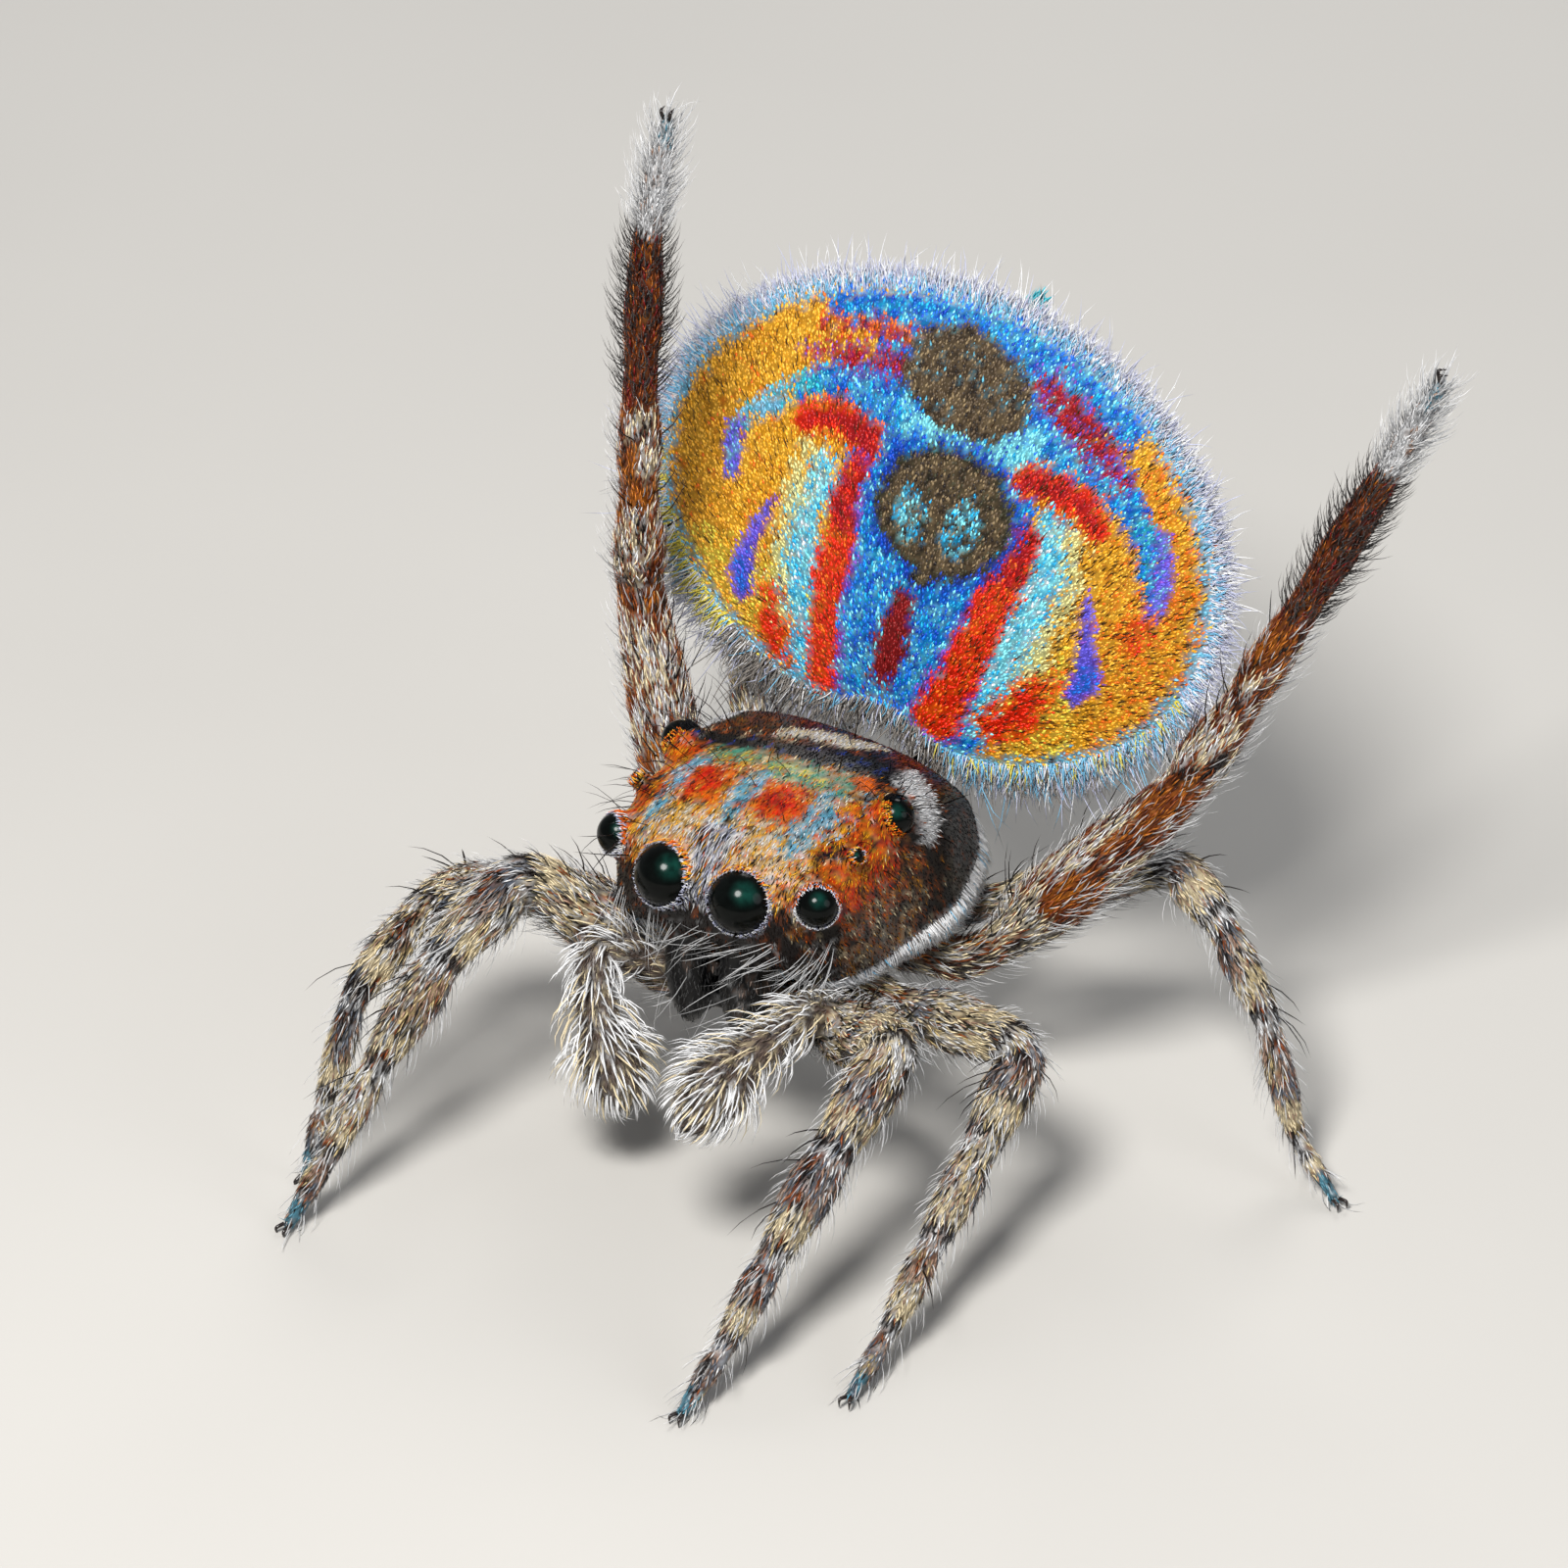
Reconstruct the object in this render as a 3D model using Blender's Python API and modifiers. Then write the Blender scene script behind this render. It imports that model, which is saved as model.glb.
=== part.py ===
"""Peacock jumping spider, a male in its display stance, life size and set on a flat floor.

The spider faces -Y and its left side is +X. Every shape is worked out in millimetres from the middle
of the front row of eyes, then moved over the floor and turned to metres at the very end.
"""

import math
import random

import bmesh
import bpy
import numpy as np
from mathutils import Matrix, Vector
from mathutils.bvhtree import BVHTree

# Driving dimensions, in millimetres and degrees
MM = 0.001
EYE_ROW = Vector((-0.50, -0.77, 1.75))
FLOOR = -EYE_ROW.z
GAP = 0.02

# Carapace: distance behind the eye row, half width, top and lower margin
CARAPACE = (
    (-0.17, 0.34, -0.03, -0.32),
    (-0.13, 0.47, 0.06, -0.37),
    (-0.04, 0.60, 0.17, -0.46),
    (0.12, 0.69, 0.25, -0.58),
    (0.38, 0.74, 0.32, -0.65),
    (0.68, 0.77, 0.34, -0.68),
    (0.98, 0.83, 0.30, -0.69),
    (1.22, 0.80, 0.17, -0.68),
    (1.45, 0.72, -0.03, -0.66),
    (1.64, 0.60, -0.23, -0.63),
    (1.78, 0.42, -0.38, -0.60),
    (1.85, 0.24, -0.44, -0.58),
)
CARAPACE_RINGS = 20
CARAPACE_SIDES = 28
SHOULDER = -0.20
SHOULDER_STARTS = 0.3
SQUARENESS_OVER = 2.7
SQUARENESS_UNDER = 4.5
# Waist over the flared margin: distance behind the eye row and share of the half width it takes
WAIST = ((0.10, 0.0), (0.68, 0.03), (0.98, 0.05), (1.22, 0.11), (1.64, 0.12), (1.85, 0.0))
WAIST_HEIGHT = 0.22

# Eyes: name, radius, and place of the left one as (side, behind the row, above the row)
EYES = (
    ("anterior_median", 0.172, (0.225, -0.125, -0.045)),
    ("anterior_lateral", 0.112, (0.602, -0.005, 0.0)),
    ("posterior_median", 0.045, (0.655, 0.27, 0.16)),
    ("posterior_lateral", 0.105, (0.650, 0.66, 0.185)),
)

# Underside: half sizes and centre of the sternum
STERNUM_SIZE = (0.36, 0.82, 0.21)
STERNUM_AT = Vector((0, 0.84, -0.87))

# Legs: first to fourth pair, lengths from femur to tarsus and the radius of each
LEG_LENGTHS = {
    1: (0.87, 0.60, 0.62, 0.54, 0.48),
    2: (0.97, 0.55, 0.58, 0.55, 0.47),
    3: (1.40, 0.59, 0.70, 0.93, 0.57),
    4: (1.13, 0.42, 0.56, 0.65, 0.42),
}
LEG_RADII = {
    1: (0.170, 0.158, 0.138, 0.100, 0.082),
    2: (0.155, 0.142, 0.118, 0.090, 0.072),
    3: (0.180, 0.145, 0.122, 0.108, 0.085),
    4: (0.145, 0.125, 0.105, 0.085, 0.068),
}
COXA_ENDS = {
    1: Vector((0.50, 0.15, -0.88)),
    2: Vector((0.67, 0.55, -0.88)),
    3: Vector((0.88, 1.10, -0.90)),
    4: Vector((0.62, 1.48, -0.86)),
}
COXA_RADII = {1: 0.165, 2: 0.150, 3: 0.145, 4: 0.150}
# Inner ends of the coxae under the body: distance to the side, height, and how far behind the eye row
COXA_ROOT = (0.16, -0.87)
COXA_ROOTS = {1: 0.288, 2: 0.608, 3: 0.984, 4: 1.352}

# Stance: heading of the femur and of the shin out from the side, and the lift of each segment.
# The lift of a standing leg's tarsus is left out, because it follows from the floor.
STANCE = {
    ("left", 1): (-26, -93, (25, -31, -33, -37)),
    ("left", 2): (-9, -86, (8, -31, -27, -28)),
    ("left", 3): (38.5, 36, (43, 60, 62, 63, 64)),
    ("left", 4): (22, -24, (21, -17, -39, -64)),
    ("right", 1): (-30, -76, (42, -23, -43, -50)),
    ("right", 2): (-26, -86, (10, 12, -21, -62)),
    ("right", 3): (35.5, 86, (60, 91, 88, 84, 68)),
    ("right", 4): (50, 80, (28, -15, -42, -62)),
}
SIDES = {"left": 1, "right": -1}
FOOT_RADIUS = 0.05
FOOT_RISE = 0.035

# Each leg segment's swelling along it, as shares of its length and of its radius
FEMUR_ROOT = 0.68
LEG_SWELLS = ((0.14, 0.90), (0.38, 1.04), (0.64, 1.0), (0.87, 0.86))

# Feelers in front of the jaws: joints and radii of the left and of the right one, root to tip
PALP_JOINTS = {
    "left": (
        (0.26, 0.22, -0.86),
        (0.45, 0.04, -0.74),
        (0.66, -0.06, -0.60),
        (0.60, -0.32, -0.60),
        (0.51, -0.57, -0.67),
        (0.40, -0.98, -0.88),
    ),
    "right": (
        (-0.26, 0.22, -0.86),
        (-0.45, 0.02, -0.74),
        (-0.62, -0.14, -0.60),
        (-0.58, -0.30, -0.76),
        (-0.46, -0.40, -0.94),
        (-0.29, -0.43, -1.36),
    ),
}
PALP_RADII = (0.09, 0.095, 0.10, 0.10)
PALP_BEAD = ((-0.35, 0.45), (-0.1, 0.85), (0.25, 1.05), (0.75, 1.05), (1.1, 0.85), (1.35, 0.45))
PALP_TIP_RADIUS = 0.175
PALP_TIP = ((-0.15, 0.6), (0.05, 0.75), (0.25, 0.97), (0.5, 1.0), (0.75, 0.85), (0.92, 0.55), (1.0, 0.2))

CHELICERA_AT = Vector((0.165, 0.0, -0.62))
CHELICERA_SIZE = (0.145, 0.15, 0.40)

# Raised abdomen: the fan's middle, its lean back from upright, and how that lean grows up the fan
FAN_AT = Vector((-0.10, 2.18, 0.80))
FAN_LEAN = 23.0
FAN_BEND = 28.0 / 2.4
FAN_SWING = 5.5
FAN_HALF_WIDTH = 1.73
FAN_HALF_LENGTH = 1.23
FAN_MIDDLE = 0.04
FAN_DROOP = 60.0
FAN_NOTCH = 0.17
FAN_NOTCH_WIDTH = 0.32
FAN_THICKNESS = 0.12
RIM_THICKNESS = 0.07
SHIELD_HALF_WIDTH = 0.60
BELLY_AT = (0.0, 0.04, 0.50)
BELLY_SIZE = (0.60, 1.17, 0.52)
BELLY_SQUARENESS = 2.4
PEDICEL = ((0, 1.72, -0.56), (0, 2.02, -0.46), (0, 2.32, -0.34))
PEDICEL_RADIUS = 0.11
SPINNERET_REACH = (0.12, 0.17)
SPINNERET_DEPTH = 0.20
SPINNERET_RADII = (0.11, 0.09, 0.03)

# Long coat and spines: length outside the skin, half width and thickness of each kind of lock
RIM_LOCK = (0.17, 0.10, 0.05)
HEM_LOCK = (0.28, 0.095, 0.05)
RIM_LOCKS = 21
RIM_ENDS = 64
RIM_SWAY = 0.4
HEM_ENDS = -28
TOP_LOCKS_AT = (-0.48, -0.32, -0.16, 0.16, 0.32, 0.48)
BOTTOM_LOCKS_AT = (-0.49, 0.49)
PALP_LOCK = (0.16, 0.045, 0.035)
TIP_LOCK = (0.19, 0.055, 0.04)
FRINGE_LOCK = (0.12, 0.035, 0.03)
BRUSH_LOCK = (0.17, 0.05, 0.035)
JAW_LOCK = (0.28, 0.040, 0.03)
SPINE = (0.23, 0.016, 0.026)
# Spines: how far to either side of the segment's line, how deep their roots and how they lean
SPINE_ASIDE = 0.5
SPINE_ROOT = 0.85
SPINE_LEAN = 0.3
FEMUR_SPINES = (0.45, 0.66, 0.86)
SHIN_SPINES = (0.35, 0.7)
METATARSUS_SPINES = (0.6,)
# Rings of locks: from and to as shares of the segment, share of its radius, rows, locks a row, lean
FRINGE_RINGS = (0.05, 0.9, 0.8, 4, 4, 0.35)
BRUSH_RINGS = (0.08, 1.0, 0.7, 3, 5, 0.6)
TIP_RINGS = (0.06, 0.8, 0.85, 3, 6, 0.55)
PALP_STARTS = 0.1
PALP_ENDS = 0.45
PALP_ROOT = 0.8
PALP_ROWS = 2
PALP_AROUND = 5
PALP_LEAN = 0.45
# Jaw hairs: distance out from the jaw's middle and down from its top, then their way and lean
JAW_ROOTS = ((-0.05, 0.05), (0.01, 0.0), (0.07, 0.06))
JAW_TOP = -0.5
JAW_FRONT = 0.8
JAW_WAY = (-0.3, -0.3, -1.0)
JAW_LEAN = 0.55
# How a lock bends: share of its length and how much of its lie each stretch takes
LOCK_BENDS = ((0.35, 0.0, 1.0), (0.35, 0.7, 1.0), (0.3, 1.0, 0.6))
LOCK_SINK = 0.05
LOCK_PROFILE = ((0.0, 1.0), (0.4, 0.85), (0.75, 0.5))
LOCK_SCALES = (1.0, 0.8, 0.6, 0.4)
LOCK_ROOM = 0.022
SEED = 11

COLOURS = {
    "carapace": ("B0522A", 0.5),
    "eye": ("060808", 0.05),
    "sternum": ("4A4038", 0.6),
    "fan": ("D99A1E", 0.4),
    "belly": ("B9B4A8", 0.8),
    "leg": ("8E8780", 0.7),
    "display_leg": ("8A4A1F", 0.7),
    "display_foot": ("E8E6E0", 0.8),
    "palp": ("D8D0C6", 0.8),
}


def linear(value):
    """One sRGB channel as linear light."""
    return value / 12.92 if value <= 0.04045 else ((value + 0.055) / 1.055) ** 2.4


def finish_of(name):
    """The material of this name, made once."""
    found = bpy.data.materials.get(name)
    if found:
        return found
    code, roughness = COLOURS[name]
    material = bpy.data.materials.new(name)
    material.use_nodes = True
    shader = material.node_tree.nodes["Principled BSDF"]
    channels = [linear(int(code[i : i + 2], 16) / 255) for i in (0, 2, 4)]
    shader.inputs["Base Color"].default_value = (*channels, 1.0)
    shader.inputs["Roughness"].default_value = roughness
    return material


def add_piece(name, bm, finish):
    """Turns a bmesh into a named object of the spider."""
    bmesh.ops.recalc_face_normals(bm, faces=bm.faces)
    mesh = bpy.data.meshes.new(name)
    bm.to_mesh(mesh)
    bm.free()
    piece = bpy.data.objects.new(name, mesh)
    mesh.materials.append(finish_of(finish))
    bpy.data.collections["peacock_spider"].objects.link(piece)
    return piece


def replace_mesh(piece, bm):
    bm.to_mesh(piece.data)
    bm.free()
    piece.data.update()


def evaluated_bmesh(piece):
    """The piece with its modifiers applied, as a welded bmesh in world space."""
    bpy.context.view_layer.update()
    graph = bpy.context.evaluated_depsgraph_get()
    mesh = bpy.data.meshes.new_from_object(piece.evaluated_get(graph))
    bm = bmesh.new()
    bm.from_mesh(mesh)
    bpy.data.meshes.remove(mesh)
    bmesh.ops.remove_doubles(bm, verts=bm.verts, dist=1e-5)
    return bm


def enclosed(faces):
    """The volume inside one closed surface."""
    total = 0.0
    for face in faces:
        first, *rest = [vert.co for vert in face.verts]
        for near, far in zip(rest, rest[1:]):
            total += first.dot(near.cross(far))
    return abs(total) / 6


def largest_surface(bm):
    """Drops all but the closed surface that holds the most."""
    left = set(bm.faces)
    groups = []
    while left:
        group = {left.pop()}
        front = set(group)
        while front:
            front = {near for face in front for edge in face.edges for near in edge.link_faces} & left
            group |= front
            left -= front
        groups.append(group)
    groups.sort(key=enclosed)
    for group in groups[:-1]:
        bmesh.ops.delete(bm, geom=list(group), context="FACES")


def boolean(piece, operation, others, solver="EXACT"):
    """Applies one Boolean on a collection of closed meshes, which are then removed."""
    group = bpy.data.collections.new("operands")
    bpy.data.collections["cutters"].children.link(group)
    for other in others:
        for owner in list(other.users_collection):
            owner.objects.unlink(other)
        group.objects.link(other)
        other.hide_render = True
        other.display_type = "WIRE"
    modifier = piece.modifiers.new("join", "BOOLEAN")
    modifier.operation = operation
    modifier.operand_type = "COLLECTION"
    modifier.collection = group
    modifier.solver = solver
    bm = evaluated_bmesh(piece)
    piece.modifiers.clear()
    largest_surface(bm)
    replace_mesh(piece, bm)
    for other in others:
        bpy.data.objects.remove(other)
    bpy.data.collections.remove(group)


def swollen(piece):
    """The mesh of a smooth piece grown outwards by the gap, to cut its neighbours clear of it."""
    bm = bmesh.new()
    bm.from_mesh(piece.data)
    bmesh.ops.recalc_face_normals(bm, faces=bm.faces)
    grown = bpy.data.meshes.new(piece.name + "_swollen")
    for vert in bm.verts:
        vert.co += vert.normal * GAP
    bm.to_mesh(grown)
    bm.free()
    return grown


def cut_clear(piece, neighbours):
    """Cuts the piece back from each swollen neighbour in turn."""
    for grown in neighbours:
        cutter = bpy.data.objects.new("cutter", grown)
        bpy.data.collections["cutters"].objects.link(cutter)
        boolean(piece, "DIFFERENCE", [cutter])


def smooth_row(rows, count):
    """Rows of numbers drawn through the given ones by a Catmull-Rom curve, denser at both ends."""
    rows = np.array(rows, float)
    padded = np.vstack([2 * rows[0] - rows[1], rows, 2 * rows[-1] - rows[-2]])
    found = []
    for i in range(count):
        place = (1 - math.cos(math.pi * i / (count - 1))) / 2 * (len(rows) - 1)
        at = min(int(place), len(rows) - 2)
        t = place - at
        a, b, c, d = padded[at : at + 4]
        blend = 2 * b + (c - a) * t + (2 * a - 5 * b + 4 * c - d) * t**2
        found.append((blend + (3 * b - a - 3 * c + d) * t**3) / 2)
    return found


def signed_power(value, power):
    return math.copysign(abs(value) ** power, value)


def loft(name, rings, finish):
    """A closed skin over rings of equal count, with flat ends."""
    bm = bmesh.new()
    loops = [[bm.verts.new(p) for p in ring] for ring in rings]
    count = len(loops[0])
    for near, far in zip(loops, loops[1:]):
        for i in range(count):
            j = (i + 1) % count
            bm.faces.new((near[i], near[j], far[j], far[i]))
    bm.faces.new(loops[0][::-1])
    bm.faces.new(loops[-1])
    return add_piece(name, bm, finish)


def make_carapace():
    rings = []
    for y, half_width, top, margin in smooth_row(CARAPACE, CARAPACE_RINGS):
        middle = (top + margin) / 2
        if y > SHOULDER_STARTS:
            middle = min(SHOULDER, middle)
        ring = []
        for i in range(CARAPACE_SIDES):
            turn = 2 * math.pi * i / CARAPACE_SIDES
            over = math.sin(turn) >= 0
            squareness = SQUARENESS_OVER if over else SQUARENESS_UNDER
            x = half_width * signed_power(math.cos(turn), 2 / squareness)
            height = top - middle if over else middle - margin
            z = middle + height * signed_power(math.sin(turn), 2 / squareness)
            waist = np.interp(y, *zip(*WAIST)) * min(1.0, (z - margin) / WAIST_HEIGHT)
            ring.append(Vector((x * (1 - waist), y, z)))
        rings.append(ring)
    return loft("carapace", rings, "carapace")


def ball(name, centre, size, finish, segments=16, rings=10, squareness=2.0):
    """An ellipsoid on its own axes, fuller towards its corners where squareness is over 2."""
    bm = bmesh.new()
    bmesh.ops.create_uvsphere(bm, u_segments=segments, v_segments=rings, radius=1.0)
    for vert in bm.verts:
        vert.co /= sum(abs(c) ** squareness for c in vert.co) ** (1 / squareness)
    bmesh.ops.scale(bm, vec=Vector(size), verts=bm.verts)
    bmesh.ops.translate(bm, vec=Vector(centre), verts=bm.verts)
    return add_piece(name, bm, finish)


def make_eyes(carapace):
    """Each eye sits in a socket of its own, with the gap all round."""
    sockets = []
    for name, radius, place in EYES:
        for side, sign in SIDES.items():
            centre = Vector((sign * place[0], place[1], place[2]))
            segments = 16 if radius > 0.15 else 12 if radius > 0.08 else 8
            rings = segments * 5 // 8
            size = (radius,) * 3
            ball(f"eye_{name}_{side}", centre, size, "eye", segments, rings)
            grown = (radius + GAP,) * 3
            sockets.append(ball("socket", centre, grown, "eye", segments, rings))
    boolean(carapace, "DIFFERENCE", sockets)


def tube(name, points, radii, finish, resolution=2):
    """A tapering tube along the points, with filled caps."""
    curve = bpy.data.curves.new(name, "CURVE")
    curve.dimensions = "3D"
    curve.bevel_depth = 1.0
    curve.bevel_resolution = resolution
    curve.use_fill_caps = True
    spline = curve.splines.new("POLY")
    spline.points.add(len(points) - 1)
    for point, place, radius in zip(spline.points, points, radii):
        point.co = (*place, 1.0)
        point.radius = radius
    guide = bpy.data.objects.new(name + "_guide", curve)
    bpy.data.collections["cutters"].objects.link(guide)
    bm = evaluated_bmesh(guide)
    bpy.data.objects.remove(guide)
    return add_piece(name, bm, finish)


def slice_off(piece, place, outwards):
    """Cuts the piece at a plane, drops what lies outwards of it and closes the cut."""
    bm = bmesh.new()
    bm.from_mesh(piece.data)
    geometry = list(bm.verts) + list(bm.edges) + list(bm.faces)
    bmesh.ops.bisect_plane(
        bm, geom=geometry, plane_co=place, plane_no=outwards, clear_outer=True, dist=1e-6
    )
    rim = [edge for edge in bm.edges if edge.is_boundary]
    bmesh.ops.holes_fill(bm, edges=rim, sides=0)
    largest_surface(bm)
    bmesh.ops.recalc_face_normals(bm, faces=bm.faces)
    replace_mesh(piece, bm)


def heading_vector(sign, heading, lift):
    """Unit vector out from a side, turned back by heading and up by lift."""
    level = math.cos(math.radians(lift))
    out = level * math.cos(math.radians(heading))
    back = level * math.sin(math.radians(heading))
    return Vector((sign * out, back, math.sin(math.radians(lift))))


def leg_joints(side, pair):
    """Coxa root, coxa end, then the far end of each segment from femur to tarsus."""
    sign = SIDES[side]
    mirror = Matrix.Diagonal((sign, 1, 1))
    femur_heading, shin_heading, lifts = STANCE[side, pair]
    at = mirror @ COXA_ENDS[pair]
    root = mirror @ Vector((COXA_ROOT[0], COXA_ROOTS[pair], COXA_ROOT[1]))
    joints = [root, at]
    for i, length in enumerate(LEG_LENGTHS[pair]):
        if i < len(lifts):
            lift = lifts[i]
        else:
            lift = -math.degrees(math.asin((at.z - FLOOR - FOOT_RISE) / length))
        heading = femur_heading if i == 0 else shin_heading
        at = at + heading_vector(sign, heading, lift) * length
        joints.append(at)
    return joints


def leg_course(pair, joints):
    """Points along the whole leg with their radii: each segment swells and is waisted at its joints."""
    places = [joints[0]]
    radii = [COXA_RADII[pair] * 0.8]
    segments = [COXA_RADII[pair], *LEG_RADII[pair]]
    for i, (near, far, radius) in enumerate(zip(joints, joints[1:], segments)):
        last = i == len(segments) - 1
        for share, swell in LEG_SWELLS:
            places.append(near.lerp(far, share))
            if i == 1 and share == LEG_SWELLS[0][0]:
                swell = FEMUR_ROOT
            radii.append(radius * swell * (1 - 0.3 * share if last else 1))
    places.append(joints[-1])
    radii.append(FOOT_RADIUS)
    return places, radii


SEGMENTS = (("femur", 0, 2), ("tibia", 2, 4), ("metatarsus", 4, 5), ("tarsus", 5, 6))


def leg_finish(pair, segment):
    if pair != 3:
        return "leg"
    return "display_foot" if segment == "tarsus" else "display_leg"


def joint_plane(joints, i):
    """The point and the outward direction of the cut at a joint."""
    before = (joints[i] - joints[i - 1]).normalized()
    after = (joints[i + 1] - joints[i]).normalized()
    return joints[i], (before + after).normalized()


def make_leg(side, pair, body):
    """One leg, parted by thin cuts at the knee and at both ends of the metatarsus."""
    joints = leg_joints(side, pair)
    places, radii = leg_course(pair, joints)
    per_segment = 4
    pieces = {}
    for segment, first, last in SEGMENTS:
        start = max(0, first * per_segment - 1)
        end = min(len(places), last * per_segment + 3)
        name = f"leg_{pair}_{side}_{segment}"
        piece = tube(name, places[start:end], radii[start:end], leg_finish(pair, segment))
        if first > 0:
            at, outwards = joint_plane(joints, first)
            slice_off(piece, at + outwards * GAP / 2, -outwards)
        if last < len(joints) - 1:
            at, outwards = joint_plane(joints, last)
            slice_off(piece, at - outwards * GAP / 2, outwards)
        pieces[segment] = piece
    if pair != 3:
        slice_off(pieces["tarsus"], Vector((0, 0, FLOOR)), Vector((0, 0, -1)))
    cut_clear(pieces["femur"], body)
    return pieces


def make_chelicerae(body):
    """The two jaws, side by side under the face, and their swollen meshes."""
    jaws = []
    rooms = []
    for side, sign in SIDES.items():
        centre = Vector((sign * CHELICERA_AT.x, CHELICERA_AT.y, CHELICERA_AT.z))
        piece = ball(f"chelicera_{side}", centre, CHELICERA_SIZE, "sternum", 14, 12)
        rooms.append(swollen(piece))
        slice_off(piece, Vector((sign * GAP / 2, 0, 0)), Vector((-sign, 0, 0)))
        cut_clear(piece, body)
        jaws.append(piece)
    return jaws, rooms


def make_palp(side, body):
    """One feeler: its limb of fused beads, its last segment, and the swollen meshes of the limb."""
    joints = [Vector(p) for p in PALP_JOINTS[side]]
    beads = []
    for near, far, radius in zip(joints, joints[1:-1], PALP_RADII):
        places = [near.lerp(far, share) for share, _ in PALP_BEAD]
        radii = [radius * swell for _, swell in PALP_BEAD]
        beads.append(tube(f"palp_{side}", places, radii, "palp"))
    rooms = [swollen(bead) for bead in beads]
    limb = beads.pop(0)
    boolean(limb, "UNION", beads)
    cut, outwards = joint_plane(joints, len(joints) - 2)
    slice_off(limb, cut - outwards * GAP / 2, outwards)
    places = [joints[-2].lerp(joints[-1], share) for share, _ in PALP_TIP]
    radii = [PALP_TIP_RADIUS * swell for _, swell in PALP_TIP]
    tip = tube(f"palp_{side}_tip", places, radii, "palp", 3)
    slice_off(tip, cut + outwards * GAP / 2, -outwards)
    cut_clear(limb, body)
    return limb, tip, rooms


def fan_place(across, along, deep=0.0):
    """World place of a point on the raised back: across it, up along it and into the body."""
    swing = math.radians(FAN_SWING)
    x = across * math.cos(swing) + along * math.sin(swing)
    s = along * math.cos(swing) - across * math.sin(swing)
    lean = math.radians(FAN_LEAN + FAN_BEND * s)
    start = math.radians(FAN_LEAN)
    bend = math.radians(FAN_BEND)
    y = (math.cos(start) - math.cos(lean)) / bend
    z = (math.sin(lean) - math.sin(start)) / bend
    sunk = deep + across**2 / (2 * FAN_DROOP)
    return FAN_AT + Vector((x, y + sunk * math.cos(lean), z - sunk * math.sin(lean)))


def fan_edge(across):
    """How far the fan reaches up and down at this distance from its middle line."""
    reach = FAN_HALF_LENGTH * math.sqrt(max(0.0, 1 - (across / FAN_HALF_WIDTH) ** 2))
    notch = FAN_NOTCH * math.exp(-((across / FAN_NOTCH_WIDTH) ** 2))
    return FAN_MIDDLE + reach, FAN_MIDDLE - reach + notch


def fan_plate(name, near, far, columns, rows, finish):
    """A curved plate of the fan between two distances across, the same on both faces."""
    bm = bmesh.new()
    bmesh.ops.create_grid(bm, x_segments=columns, y_segments=rows, size=1.0)
    turn_near = math.asin(near / FAN_HALF_WIDTH)
    turn_far = math.asin(far / FAN_HALF_WIDTH)
    thick = {}
    for vert in bm.verts:
        share = (vert.co.x + 1) / 2
        across = FAN_HALF_WIDTH * math.sin(turn_near + (turn_far - turn_near) * share)
        top, bottom = fan_edge(across)
        height = math.sin(vert.co.y * math.pi / 2)
        along = (top + bottom) / 2 + height * (top - bottom) / 2
        out = max(abs(height), abs(across) / FAN_HALF_WIDTH)
        thick[vert.index] = FAN_THICKNESS + (RIM_THICKNESS - FAN_THICKNESS) * out**3
        vert.co = fan_place(across, along)
    bmesh.ops.triangulate(bm, faces=bm.faces)
    piece = add_piece(name, bm, finish)
    inwards = Vector((0, math.cos(math.radians(FAN_LEAN)), -math.sin(math.radians(FAN_LEAN))))
    if piece.data.polygons[0].normal.dot(inwards) > 0:
        piece.data.flip_normals()
    weights = piece.vertex_groups.new(name="thick")
    for index, value in thick.items():
        weights.add([index], value / FAN_THICKNESS, "REPLACE")
    solid = piece.modifiers.new("thick", "SOLIDIFY")
    solid.thickness = FAN_THICKNESS
    solid.offset = -1
    solid.vertex_group = "thick"
    bm = evaluated_bmesh(piece)
    piece.modifiers.clear()
    piece.vertex_groups.clear()
    replace_mesh(piece, bm)
    return piece


def make_abdomen():
    """The middle of the fan with the belly behind it, the flaps, and the middle's swollen meshes."""
    shield = SHIELD_HALF_WIDTH
    abdomen = fan_plate("abdomen", -shield, shield, 6, 12, "fan")
    belly = ball("belly", BELLY_AT, BELLY_SIZE, "belly", 20, 14, BELLY_SQUARENESS)
    for vert in belly.data.vertices:
        vert.co = fan_place(*vert.co)
    belly.data.flip_normals()
    rooms = [swollen(abdomen), swollen(belly)]
    boolean(abdomen, "UNION", [belly])
    tip = FAN_HALF_WIDTH * 0.996
    flaps = [
        fan_plate("fan_flap_left", shield + GAP, tip, 8, 14, "fan"),
        fan_plate("fan_flap_right", -tip, -shield - GAP, 8, 14, "fan"),
    ]
    return abdomen, dict(zip(SIDES, flaps)), rooms


def make_spinnerets(rooms):
    """The short cluster of spinnerets at the hind end."""
    base = fan_place(0, FAN_HALF_LENGTH - SPINNERET_REACH[0], SPINNERET_DEPTH)
    tip = fan_place(0, FAN_HALF_LENGTH + SPINNERET_REACH[1], SPINNERET_DEPTH)
    piece = tube("spinnerets", (base, base.lerp(tip, 0.6), tip), SPINNERET_RADII, "belly")
    cut_clear(piece, rooms)


def lock_rings(places, across, half_width, thick):
    """Three-cornered rings of a lock that tapers along its places, which end at its point."""
    rings = []
    for i, (_, swell) in enumerate(LOCK_PROFILE):
        ahead = (places[i + 1] - places[max(i - 1, 0)]).normalized()
        side = (across - ahead * across.dot(ahead)).normalized()
        wide = side * half_width * swell
        high = ahead.cross(side) * thick * swell
        rings.append((places[i] + wide, places[i] + high, places[i] - wide))
    return rings


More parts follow.
